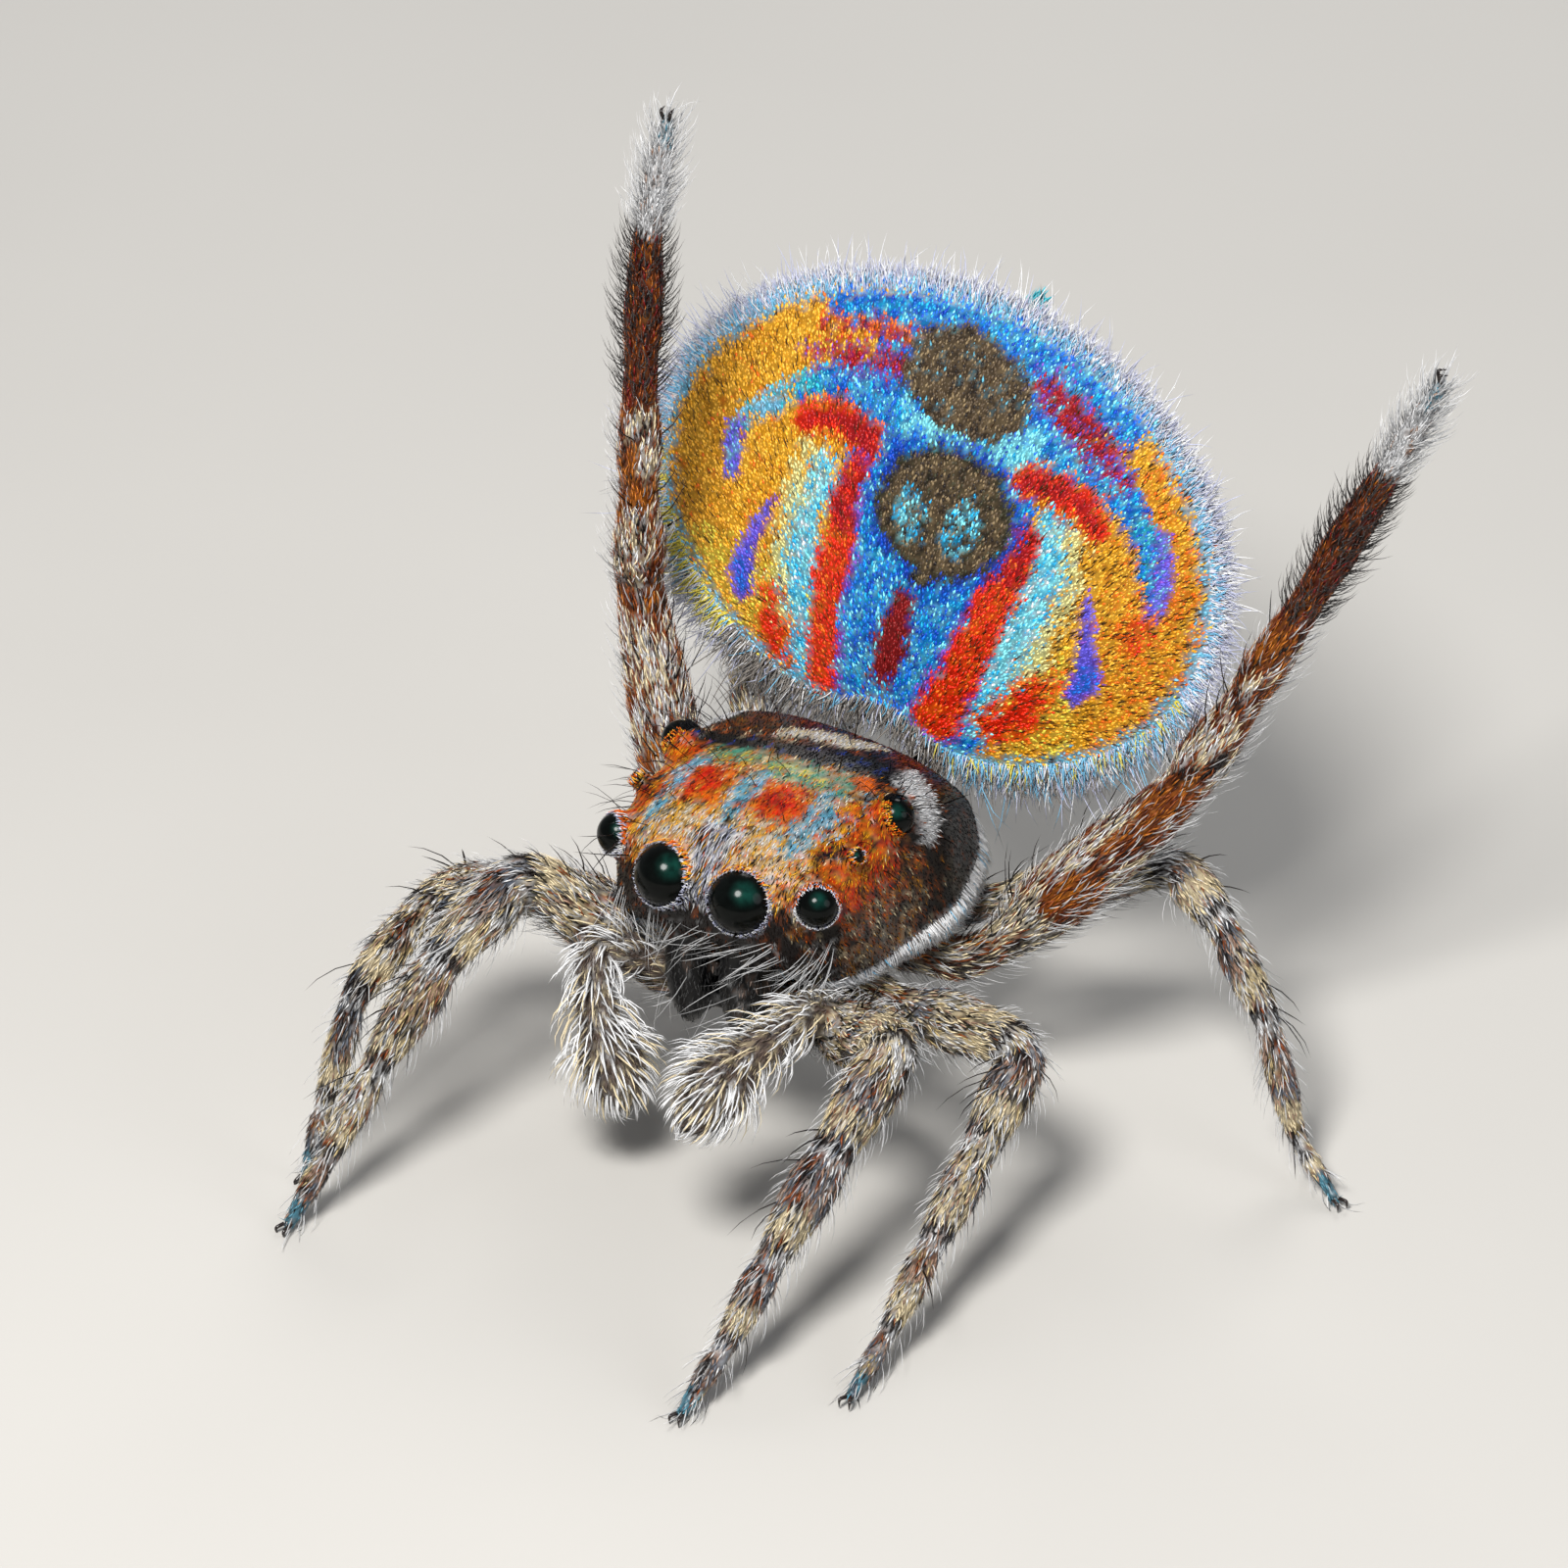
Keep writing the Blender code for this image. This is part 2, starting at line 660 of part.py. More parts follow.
def add_lock(rings, point, finish):
    """The closed solid of one lock."""
    bm = bmesh.new()
    loops = [[bm.verts.new(p) for p in ring] for ring in rings]
    tip = bm.verts.new(point)
    for i in range(3):
        j = (i + 1) % 3
        for near, far in zip(loops, loops[1:]):
            bm.faces.new((near[i], near[j], far[j], far[i]))
        bm.faces.new((loops[-1][i], loops[-1][j], tip))
    bm.faces.new(loops[0][::-1])
    return add_piece("lock", bm, finish)


def stands_clear(trees, rings, point):
    """Whether a lock keeps its room from every other piece, looked at closely along its corners."""
    lines = [list(line) for line in zip(*rings)]
    for share in (0.25, 0.5, 0.75):
        lines.append([left.lerp(right, share) for left, _, right in rings])
    for line in lines:
        for near, far in zip(line, (*line[1:], point)):
            for share in (0.0, 0.25, 0.5, 0.75, 1.0):
                place = near.lerp(far, share)
                if any(tree.find_nearest(place, LOCK_ROOM)[0] for tree in trees):
                    return False
    return True


def grow(piece, courses):
    """Fuses a lock along each course to the piece, smaller where it would touch another piece."""
    trees = []
    for other in bpy.data.collections["peacock_spider"].objects:
        if other is not piece:
            corners = [vert.co for vert in other.data.vertices]
            trees.append(BVHTree.FromPolygons(corners, [face.vertices for face in other.data.polygons]))
    locks = []
    for places, across, half_width, thick in courses:
        for scale in LOCK_SCALES:
            shorter = [places[0].lerp(place, scale) for place in places]
            rings = lock_rings(shorter, across, half_width * scale, thick)
            if stands_clear(trees, rings, shorter[-1]):
                locks.append(add_lock(rings, shorter[-1], piece.data.materials[0].name))
                break
    boolean(piece, "UNION", locks)


def bent_course(root, outwards, lie, size, lean, rng):
    """Course of a lock that leaves a surface and bends over along the lie of the coat."""
    length, half_width, thick = size
    length *= rng.uniform(0.85, 1.15)
    rise = (outwards * (1 - lean) + lie * lean).normalized()
    places = [root - outwards * LOCK_SINK]
    at = root
    for share, along, stiff in LOCK_BENDS:
        at = at + (rise * stiff + lie * along).normalized() * length * share
        places.append(at)
    return places, outwards.cross(lie), half_width, thick


def coat(near, far, radius, rows, around, size, lean, rng):
    """Courses in rings round a segment from near to far, each ring turned against the last."""
    lie = (far - near).normalized()
    side = lie.orthogonal().normalized()
    courses = []
    for row in range(rows):
        place = near.lerp(far, (row + 0.5) / rows)
        for i in range(around):
            turn = 2 * math.pi * (i + 0.5 * (row % 2) + rng.uniform(-0.12, 0.12)) / around
            outwards = Matrix.Rotation(turn, 3, lie) @ side
            courses.append(bent_course(place + outwards * radius, outwards, lie, size, lean, rng))
    return courses


def coat_segment(near, far, radius, rings, size, rng):
    """Courses in rings over the stretch of a segment that the rings name."""
    start, end, root, rows, around, lean = rings
    return coat(near.lerp(far, start), near.lerp(far, end), radius * root, rows, around, size, lean, rng)


def spines(near, far, radius, over, shares, rng):
    """Courses of stiff spines set to both sides of the line over a segment."""
    lie = (far - near).normalized()
    over = (over - lie * over.dot(lie)).normalized()
    aside = over.cross(lie)
    courses = []
    for i, share in enumerate(shares):
        outwards = (over + aside * (SPINE_ASIDE if i % 2 else -SPINE_ASIDE)).normalized()
        root = near.lerp(far, share) + outwards * radius * SPINE_ROOT
        courses.append(bent_course(root, outwards, lie, SPINE, SPINE_LEAN, rng))
    return courses


def bristle_leg(side, pair, pieces, rng):
    """Spines over the femur and under the shin, and the raised pair's fringe and brush."""
    joints = leg_joints(side, pair)
    radii = LEG_RADII[pair]
    up = Vector((0, 0, 1))
    if pair == 3:
        up = (up - Vector((SIDES[side], 0, 0))).normalized()
    grow(pieces["femur"], spines(joints[1], joints[2], radii[0], up, FEMUR_SPINES, rng))
    grow(pieces["tibia"], spines(joints[3], joints[4], radii[2], -up, SHIN_SPINES, rng))
    courses = spines(joints[4], joints[5], radii[3], -up, METATARSUS_SPINES, rng)
    if pair == 3:
        courses += coat_segment(joints[4], joints[5], radii[3], FRINGE_RINGS, FRINGE_LOCK, rng)
    grow(pieces["metatarsus"], courses)
    if pair == 3:
        grow(pieces["tarsus"], coat_segment(joints[5], joints[6], radii[4], BRUSH_RINGS, BRUSH_LOCK, rng))


def bristle_palp(side, limb, tip, rng):
    """Long bristles round the outer half of a feeler's limb and round its last segment."""
    joints = [Vector(p) for p in PALP_JOINTS[side]]
    near, far = joints[2].lerp(joints[3], PALP_STARTS), joints[3].lerp(joints[4], PALP_ENDS)
    radius = PALP_RADII[2] * PALP_ROOT
    grow(limb, coat(near, far, radius, PALP_ROWS, PALP_AROUND, PALP_LOCK, PALP_LEAN, rng))
    grow(tip, coat_segment(joints[4], joints[5], PALP_TIP_RADIUS, TIP_RINGS, TIP_LOCK, rng))


def bristle_jaw(jaw, sign, rng):
    """Long hairs that hang from under the face and cross in front of the jaw."""
    drop = (Matrix.Diagonal((sign, 1, 1)) @ Vector(JAW_WAY)).normalized()
    front = -CHELICERA_SIZE[1] * JAW_FRONT
    courses = []
    for aside, below in JAW_ROOTS:
        root = Vector((sign * (CHELICERA_AT.x + aside), front, JAW_TOP - below))
        courses.append(bent_course(root, Vector((0, -1, 0)), drop, JAW_LOCK, JAW_LEAN, rng))
    grow(jaw, courses)


def fan_course(across, along, out, size, sway, rng):
    """Course of a lock that leaves the fan's edge in its own plane, out being (across, along)."""
    length, half_width, thick = size
    length *= rng.uniform(0.75, 1.15)
    sway += rng.uniform(-RIM_SWAY, RIM_SWAY)
    places = []
    for reach in (-LOCK_SINK, length * 0.4, length * 0.75, length):
        turned = sway * reach / length
        aside = across + (out.x + turned * out.y) * reach
        above = along + (out.y - turned * out.x) * reach
        places.append(fan_place(aside, above, RIM_THICKNESS * 0.4))
    level = fan_place(across + out.y * 0.1, along - out.x * 0.1) - fan_place(across, along)
    return places, level, half_width, thick


def rim_courses(sign, rng):
    """The fringe round one flap, longer along its lower edge."""
    courses = []
    for i in range(RIM_LOCKS):
        degrees = -RIM_ENDS + 2 * RIM_ENDS * i / (RIM_LOCKS - 1)
        turn = math.radians(degrees)
        out = Vector((sign * math.cos(turn) / FAN_HALF_WIDTH, math.sin(turn) / FAN_HALF_LENGTH))
        across = sign * FAN_HALF_WIDTH * math.cos(turn)
        along = FAN_MIDDLE + FAN_HALF_LENGTH * math.sin(turn)
        size = HEM_LOCK if degrees < HEM_ENDS else RIM_LOCK
        courses.append(fan_course(across * 0.985, along, out.normalized(), size, 0.1 * sign, rng))
    return courses


def shield_courses(rng):
    """The fringe above the middle of the fan and at both ends of its lower edge."""
    courses = []
    for across in TOP_LOCKS_AT:
        out = Vector((across * 0.35, 1)).normalized()
        courses.append(fan_course(across, fan_edge(across)[0] - 0.02, out, RIM_LOCK, 0.0, rng))
    for across in BOTTOM_LOCKS_AT:
        out = Vector((across * 0.5, -1)).normalized()
        courses.append(fan_course(across, fan_edge(across)[1] + 0.02, out, RIM_LOCK, 0.0, rng))
    return courses


def stand_on_floor():
    """Moves the spider over the middle of its place on the floor and turns millimetres to metres."""
    shift = Matrix.Scale(MM, 4) @ Matrix.Translation(EYE_ROW)
    for piece in bpy.data.collections["peacock_spider"].objects:
        piece.data.transform(shift)
        piece.data.shade_smooth()
        piece.data.set_sharp_from_angle(angle=math.radians(40))


def main():
    for old in list(bpy.data.objects):
        bpy.data.objects.remove(old)
    for name in ("peacock_spider", "cutters"):
        bpy.context.scene.collection.children.link(bpy.data.collections.new(name))
    carapace = make_carapace()
    sternum = ball("sternum", STERNUM_AT, STERNUM_SIZE, "sternum", 18, 12)
    body = [swollen(carapace), swollen(sternum)]
    cut_clear(sternum, body[:1])
    make_eyes(carapace)
    jaws, jaw_rooms = make_chelicerae(body)
    palps = {}
    legs = {}
    for side in SIDES:
        limb, tip, limb_rooms = make_palp(side, body + jaw_rooms)
        palps[side] = limb, tip
        for pair in LEG_LENGTHS:
            rooms = body + jaw_rooms + limb_rooms if pair == 1 else body
            legs[side, pair] = make_leg(side, pair, rooms)
    abdomen, flaps, fan_rooms = make_abdomen()
    make_spinnerets(fan_rooms)
    pedicel = tube("pedicel", [Vector(p) for p in PEDICEL], [PEDICEL_RADIUS] * 3, "sternum")
    cut_clear(pedicel, [body[0], *fan_rooms])

    rng = random.Random(SEED)
    grow(abdomen, shield_courses(rng))
    for side, sign in SIDES.items():
        grow(flaps[side], rim_courses(sign, rng))
        bristle_palp(side, *palps[side], rng)
        for pair in LEG_LENGTHS:
            bristle_leg(side, pair, legs[side, pair], rng)
    for jaw, sign in zip(jaws, SIDES.values()):
        bristle_jaw(jaw, sign, rng)
    stand_on_floor()


main()
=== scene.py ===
"""Looks of the peacock jumping spider: one skin over the whole body, its coat of scales and hairs,
glossy eyes, spines and claws, on a plain pale floor in soft light.

Shapes are worked out in millimetres from the middle of the front row of eyes, as the solids are, and
are set over the floor and turned to metres when a piece is finished. The spider faces -Y.
"""

import math

import bmesh
import bpy
import numpy as np
from mathutils import Matrix, Vector
from mathutils.bvhtree import BVHTree
from mathutils.kdtree import KDTree


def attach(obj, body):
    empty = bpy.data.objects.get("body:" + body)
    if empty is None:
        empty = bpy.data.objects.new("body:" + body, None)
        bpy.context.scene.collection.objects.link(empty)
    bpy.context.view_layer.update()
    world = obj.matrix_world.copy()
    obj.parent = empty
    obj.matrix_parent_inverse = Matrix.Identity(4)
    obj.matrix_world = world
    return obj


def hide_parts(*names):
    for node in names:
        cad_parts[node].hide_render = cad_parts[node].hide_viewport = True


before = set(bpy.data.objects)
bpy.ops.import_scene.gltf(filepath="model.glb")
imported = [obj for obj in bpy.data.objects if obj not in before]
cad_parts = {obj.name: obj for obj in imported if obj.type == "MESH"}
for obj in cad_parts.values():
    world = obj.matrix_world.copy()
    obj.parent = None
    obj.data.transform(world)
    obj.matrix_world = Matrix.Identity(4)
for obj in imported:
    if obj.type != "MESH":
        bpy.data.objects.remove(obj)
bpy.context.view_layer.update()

# Places and sizes, in millimetres and degrees
MM = 0.001
EYE_ROW = Vector((-0.50, -0.77, 1.75))
FLOOR = -EYE_ROW.z
SIDES = {"left": 1, "right": -1}
SEED = 23

# Carapace: distance behind the eye row, half width, top and lower margin
CARAPACE = (
    (-0.17, 0.34, -0.03, -0.32),
    (-0.13, 0.47, 0.06, -0.37),
    (-0.04, 0.60, 0.17, -0.46),
    (0.12, 0.69, 0.25, -0.58),
    (0.38, 0.74, 0.32, -0.65),
    (0.68, 0.77, 0.34, -0.68),
    (0.98, 0.83, 0.30, -0.69),
    (1.22, 0.80, 0.17, -0.68),
    (1.45, 0.72, -0.03, -0.66),
    (1.64, 0.60, -0.23, -0.63),
    (1.78, 0.42, -0.38, -0.60),
    (1.85, 0.24, -0.44, -0.58),
)
SHOULDER = -0.20
SHOULDER_STARTS = 0.3
SQUARENESS_OVER = 2.7
SQUARENESS_UNDER = 8.0
# Waist over the flared margin: distance behind the eye row and share of the half width it takes
WAIST = ((0.10, 0.0), (0.68, 0.03), (0.98, 0.05), (1.22, 0.11), (1.64, 0.12), (1.85, 0.0))
WAIST_HEIGHT = 0.22

# Eyes: name, radius, place of the left one as (side, behind the row, above the row), and where it looks
EYES = (
    ("anterior_median", 0.172, (0.225, -0.125, -0.045), (0.20, -1.0, 0.52)),
    ("anterior_lateral", 0.112, (0.602, -0.005, 0.0), (0.55, -0.8, 0.34)),
    ("posterior_median", 0.045, (0.655, 0.27, 0.16), (0.85, -0.1, 0.5)),
    ("posterior_lateral", 0.105, (0.650, 0.66, 0.185), (0.85, 0.25, 0.45)),
)
# Collars of skin round the eyes: how far back they sit, as a share of the eye's radius, and their spare
COLLAR_BACK = 0.25
COLLAR_SPARE = 0.014
STERNUM_SIZE = (0.36, 0.82, 0.21)
STERNUM_AT = Vector((0, 0.84, -0.87))

# Legs: first to fourth pair, lengths from femur to tarsus and the radius of each
LEG_LENGTHS = {
    1: (0.87, 0.60, 0.62, 0.54, 0.48),
    2: (0.97, 0.55, 0.58, 0.55, 0.47),
    3: (1.40, 0.59, 0.70, 0.93, 0.57),
    4: (1.13, 0.42, 0.56, 0.65, 0.42),
}
LEG_RADII = {
    1: (0.170, 0.158, 0.138, 0.100, 0.082),
    2: (0.155, 0.142, 0.118, 0.090, 0.072),
    3: (0.180, 0.145, 0.122, 0.108, 0.085),
    4: (0.145, 0.125, 0.105, 0.085, 0.068),
}
COXA_ENDS = {
    1: Vector((0.50, 0.15, -0.88)),
    2: Vector((0.67, 0.55, -0.88)),
    3: Vector((0.88, 1.10, -0.90)),
    4: Vector((0.62, 1.48, -0.86)),
}
COXA_RADII = {1: 0.165, 2: 0.150, 3: 0.145, 4: 0.150}
COXA_ROOT = (0.16, -0.87)
COXA_ROOTS = {1: 0.288, 2: 0.608, 3: 0.984, 4: 1.352}
# Heading of the femur and of the shin out from the side, and the lift of each segment
STANCE = {
    ("left", 1): (-26, -93, (25, -31, -33, -37)),
    ("left", 2): (-9, -86, (8, -31, -27, -28)),
    ("left", 3): (38.5, 36, (43, 60, 62, 63, 64)),
    ("left", 4): (22, -24, (21, -17, -39, -64)),
    ("right", 1): (-30, -76, (42, -23, -43, -50)),
    ("right", 2): (-26, -86, (10, 12, -21, -62)),
    ("right", 3): (35.5, 86, (60, 91, 88, 84, 68)),
    ("right", 4): (50, 80, (28, -15, -42, -62)),
}
COXA_LENGTH = 0.35
FOOT_RADIUS = 0.05
FOOT_RISE = 0.035
FEMUR_ROOT = 0.68
LEG_SWELLS = ((0.14, 0.90), (0.38, 1.04), (0.64, 1.0), (0.87, 0.86))

PALP_JOINTS = {
    "left": (
        (0.26, 0.22, -0.86),
        (0.45, 0.04, -0.74),
        (0.66, -0.06, -0.60),
        (0.60, -0.32, -0.60),
        (0.51, -0.57, -0.67),
        (0.40, -0.98, -0.88),
    ),
    "right": (
        (-0.26, 0.22, -0.86),
        (-0.45, 0.02, -0.74),
        (-0.62, -0.14, -0.60),
        (-0.58, -0.30, -0.76),
        (-0.46, -0.40, -0.94),
        (-0.29, -0.43, -1.36),
    ),
}
PALP_RADII = (0.09, 0.095, 0.10, 0.10)
PALP_BEAD = ((-0.25, 0.45), (0.0, 0.8), (0.3, 1.12), (0.7, 1.15), (1.0, 0.85), (1.2, 0.45))
PALP_TIP_RADIUS = 0.175
PALP_TIP = ((-0.15, 0.6), (0.05, 0.75), (0.25, 0.97), (0.5, 1.0), (0.75, 0.85), (0.92, 0.55), (1.0, 0.2))
CHELICERA_AT = Vector((0.165, 0.0, -0.62))
CHELICERA_SIZE = (0.145, 0.15, 0.40)

# Raised abdomen
FAN_AT = np.array((-0.10, 2.18, 0.80))
FAN_LEAN = math.radians(23.0)
FAN_BEND = math.radians(28.0 / 2.4)
FAN_SWING = math.radians(5.5)
FAN_HALF_WIDTH = 1.73
FAN_HALF_LENGTH = 1.23
FAN_MIDDLE = 0.04
FAN_DROOP = 60.0
FAN_NOTCH = 0.17
FAN_NOTCH_WIDTH = 0.32
FAN_THICKNESS = 0.12
RIM_THICKNESS = 0.07
BELLY_AT = (0.0, 0.04, 0.54)
BELLY_SIZE = (0.60, 1.17, 0.52)
BELLY_SQUARENESS = 2.4
PEDICEL = ((0, 1.72, -0.56), (0, 2.02, -0.46), (0, 2.32, -0.34))
PEDICEL_RADIUS = 0.11
SPINNERET_REACH = (0.12, 0.17)
SPINNERET_DEPTH = 0.20
SPINNERET_RADII = (0.11, 0.09, 0.03)

# Skin: its mesh size, and how far it lies inside the solids so that the coat has its room
SKIN_VOXEL = 0.0285
COAT_DEPTH = 0.012
ROOT_DEPTH = 0.006
# How far skin and coat stay above the floor at least
SKIN_CLEAR = 0.001
COAT_CLEAR = 0.002

# Camera, as turned with the animal to stand on a level floor: about 200 picture points a millimetre
CAMERA_TARGET = Vector((0.155, 0.385, 0.3585))
CAMERA_TURN = 32.5
CAMERA_RISE = 34.0
CAMERA_REACH = 60.0
CAMERA_LENS = 270.0
SENSOR_WIDTH = 36.0
FLOOR_HALF_SIZE = 0.4

# The one source of chance, drawn from in a fixed order
rng = np.random.default_rng(SEED)


# Small helpers


def linear(code):
    """A colour from its sRGB hex code to linear light."""
    channels = [int(code[i : i + 2], 16) / 255 for i in (0, 2, 4)]
    return tuple(c / 12.92 if c <= 0.04045 else ((c + 0.055) / 1.055) ** 2.4 for c in channels)


def unit(rows):
    return rows / np.maximum(np.linalg.norm(rows, axis=-1, keepdims=True), 1e-9)


def level(rows, outs):
    """Rows laid flat on the surfaces with these outward directions."""
    return unit(rows - outs * np.sum(rows * outs, axis=1, keepdims=True))


# Number of waves in a ripple, and what brings their sum to about one
WAVES = 7
WAVES_HEIGHT = 2.6


def ripple(points, size, seed):
    """Smooth noise about zero, with swells of about this size."""
    own = np.random.default_rng(seed)
    total = np.zeros(len(points))
    for _ in range(WAVES):
        wave = unit(own.normal(size=3)) * 2 * math.pi / (size * own.uniform(0.7, 1.9))
        total += np.sin(points @ wave + own.uniform(0, 2 * math.pi))
    return total / WAVES_HEIGHT


def smooth_course(places, radii, steps):
    """More points and radii along the same course, on a Catmull-Rom curve."""
    rows = np.array([(*place, radius) for place, radius in zip(places, radii)])
    padded = np.vstack([2 * rows[0] - rows[1], rows, 2 * rows[-1] - rows[-2]])
    found = []
    for a, b, c, d in zip(padded, padded[1:], padded[2:], padded[3:]):
        for step in range(steps):
            t = step / steps
            blend = 2 * b + (c - a) * t + (2 * a - 5 * b + 4 * c - d) * t**2
            found.append((blend + (3 * b - a - 3 * c + d) * t**3) / 2)
    found.append(rows[-1])
    found = np.array(found)
    return found[:, :3], found[:, 3]


def arrows(*parts):
    """Directions from their three parts, each a number or a row of them."""
    return np.stack(np.broadcast_arrays(*parts), axis=-1)


def points_of(mesh):
    """Places and outward directions of a mesh's points."""
    places = np.empty(len(mesh.vertices) * 3)
    normals = np.empty(len(mesh.vertices) * 3)
    mesh.vertices.foreach_get("co", places)
    mesh.vertex_normals.foreach_get("vector", normals)
    return places.reshape(-1, 3), normals.reshape(-1, 3)


def placed(name, data):
    """A new object in the scene."""
    made = bpy.data.objects.new(name, data)
    bpy.context.scene.collection.objects.link(made)
    return made


def taken_mesh(holder):
    """The mesh that an object shows; the object itself goes."""
    graph = bpy.context.evaluated_depsgraph_get()
    made = bpy.data.meshes.new_from_object(holder.evaluated_get(graph))
    bpy.data.objects.remove(holder)
    return made


def set_marks(mesh, colours):
    """Gives each point of a mesh its colour, and the mesh smooth shading."""
    rows = np.concatenate([colours, np.ones((len(colours), 1))], axis=1)
    layer = mesh.color_attributes.new(name="Markings", type="FLOAT_COLOR", domain="POINT")
    layer.data.foreach_set("color", rows.ravel())
    mesh.shade_smooth()


def finish_piece(name, mesh, material, replaced=()):
    """Sets a mesh over the floor, in metres, and hands it to the frame."""
    mesh.transform(Matrix.Scale(MM, 4) @ Matrix.Translation(EYE_ROW))
    mesh.materials.clear()
    mesh.materials.append(material)
    piece = placed(name, mesh)
    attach(piece, "root")
    if replaced:
        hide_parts(*replaced)


def mesh_of(name, bm):
    mesh = bpy.data.meshes.new(name)
    bm.to_mesh(mesh)
    bm.free()
    return mesh


def with_modifiers(mesh, *kinds):
    """A mesh after modifiers, each given as its kind and settings."""
    holder = placed("holder", mesh)
    for kind, settings in kinds:
        modifier = holder.modifiers.new(kind, kind)
        for key, value in settings.items():
            setattr(modifier, key, value)
    return taken_mesh(holder)


# Shapes of the body


def carapace_shape():
    """The carapace as a warped grid: rows from the face to the back, columns round each row."""
    bm = bmesh.new()
    bmesh.ops.create_grid(bm, x_segments=56, y_segments=44, size=1.0)
    tops, margins = smooth_course([row[:3] for row in CARAPACE], [row[3] for row in CARAPACE], 8)
    for vert in bm.verts:
        share = (1 - math.cos(math.pi * (vert.co.y + 1) / 2)) / 2
        at = share * (len(tops) - 1)
        low = min(int(at), len(tops) - 2)
        y, half_width, top = tops[low] + (tops[low + 1] - tops[low]) * (at - low)
        margin = margins[low] + (margins[low + 1] - margins[low]) * (at - low)
        middle = (top + margin) / 2
        if y > SHOULDER_STARTS:
            middle = min(SHOULDER, middle)
        turn = math.pi * (vert.co.x + 1)
        over = math.sin(turn) >= 0
        power = 2 / (SQUARENESS_OVER if over else SQUARENESS_UNDER)
        across = math.copysign(abs(math.cos(turn)) ** power, math.cos(turn))
        rise = math.copysign(abs(math.sin(turn)) ** power, math.sin(turn))
        height = top - middle if over else middle - margin
        z = middle + height * rise
        waist = np.interp(y, *zip(*WAIST)) * min(1.0, (z - margin) / WAIST_HEIGHT)
        vert.co = (half_width * across * (1 - waist), y, z)
    bmesh.ops.remove_doubles(bm, verts=bm.verts, dist=1e-4)
    rims = [edge for edge in bm.edges if edge.is_boundary]
    bmesh.ops.holes_fill(bm, edges=rims, sides=0)
    bmesh.ops.recalc_face_normals(bm, faces=bm.faces)
    return mesh_of("carapace", bm)


def ball_shape(name, centre, size, squareness=2.0, segments=32, rings=20):
    bm = bmesh.new()
    bmesh.ops.create_uvsphere(bm, u_segments=segments, v_segments=rings, radius=1.0)
    for vert in bm.verts:
        vert.co /= sum(abs(c) ** squareness for c in vert.co) ** (1 / squareness)
    bmesh.ops.scale(bm, vec=Vector(size), verts=bm.verts)
    bmesh.ops.translate(bm, vec=Vector(centre), verts=bm.verts)
    return mesh_of(name, bm)


def collar_ball(sign, radius, place, look):
    """Centre, size and gaze of the raised collar that holds an eye up to its widest ring."""
    gaze = Vector((sign * look[0], look[1], look[2])).normalized()
    centre = Vector((sign * place[0], place[1], place[2]))
    return centre - gaze * radius * COLLAR_BACK, radius * 1.08 + COLLAR_SPARE, gaze


def tube_shape(name, places, radii, resolution=5):
    """A closed tube along a course."""
    curve = bpy.data.curves.new(name, "CURVE")
    curve.dimensions = "3D"
    curve.bevel_depth = 1.0
    curve.bevel_resolution = resolution
    curve.use_fill_caps = True
    spline = curve.splines.new("POLY")
    spline.points.add(len(places) - 1)
    for point, place, radius in zip(spline.points, places, radii):
        point.co = (*place, 1.0)
        point.radius = radius
    return taken_mesh(placed(name, curve))


def heading_vector(sign, heading, lift):
    """Unit vector out from a side, turned back by heading and up by lift."""
    flat = math.cos(math.radians(lift))
    out = flat * math.cos(math.radians(heading))
    back = flat * math.sin(math.radians(heading))
    return Vector((sign * out, back, math.sin(math.radians(lift))))


def leg_joints(side, pair):
    """Coxa root, coxa end, then the far end of each segment from femur to tarsus."""
    sign = SIDES[side]
    mirror = Matrix.Diagonal((sign, 1, 1))
    femur_heading, shin_heading, lifts = STANCE[side, pair]
    at = mirror @ COXA_ENDS[pair]
    root = mirror @ Vector((COXA_ROOT[0], COXA_ROOTS[pair], COXA_ROOT[1]))
    joints = [root, at]
    for i, length in enumerate(LEG_LENGTHS[pair]):
        if i < len(lifts):
            lift = lifts[i]
        else:
            lift = -math.degrees(math.asin((at.z - FLOOR - FOOT_RISE) / length))
        heading = femur_heading if i == 0 else shin_heading
        at = at + heading_vector(sign, heading, lift) * length
        joints.append(at)
    return joints


def leg_course(pair, joints):
    """Points along the whole leg with their radii: each segment swells and is waisted at its joints."""
    places = [joints[0]]
    radii = [COXA_RADII[pair] * 0.8]
    segments = [COXA_RADII[pair], *LEG_RADII[pair]]
    for i, (near, far, radius) in enumerate(zip(joints, joints[1:], segments)):
        last = i == len(segments) - 1
        for share, swell in LEG_SWELLS:
            places.append(near.lerp(far, share))
            if i == 1 and share == LEG_SWELLS[0][0]:
                swell = FEMUR_ROOT
            radii.append(radius * swell * (1 - 0.3 * share if last else 1))
    places.append(joints[-1])
    radii.append(FOOT_RADIUS)
    return smooth_course(places, radii, 3)


def fan_place(across, along, deep=0.0):
    """Places on the raised back: across it, up along it and into the body."""
    x = across * math.cos(FAN_SWING) + along * math.sin(FAN_SWING)
    s = along * math.cos(FAN_SWING) - across * math.sin(FAN_SWING)
    lean = FAN_LEAN + FAN_BEND * s
    reach = 1 / FAN_BEND - deep - across**2 / (2 * FAN_DROOP)
    y = math.cos(FAN_LEAN) / FAN_BEND - np.cos(lean) * reach
    z = np.sin(lean) * reach - math.sin(FAN_LEAN) / FAN_BEND
    return np.stack([x, y, z], axis=-1) + FAN_AT


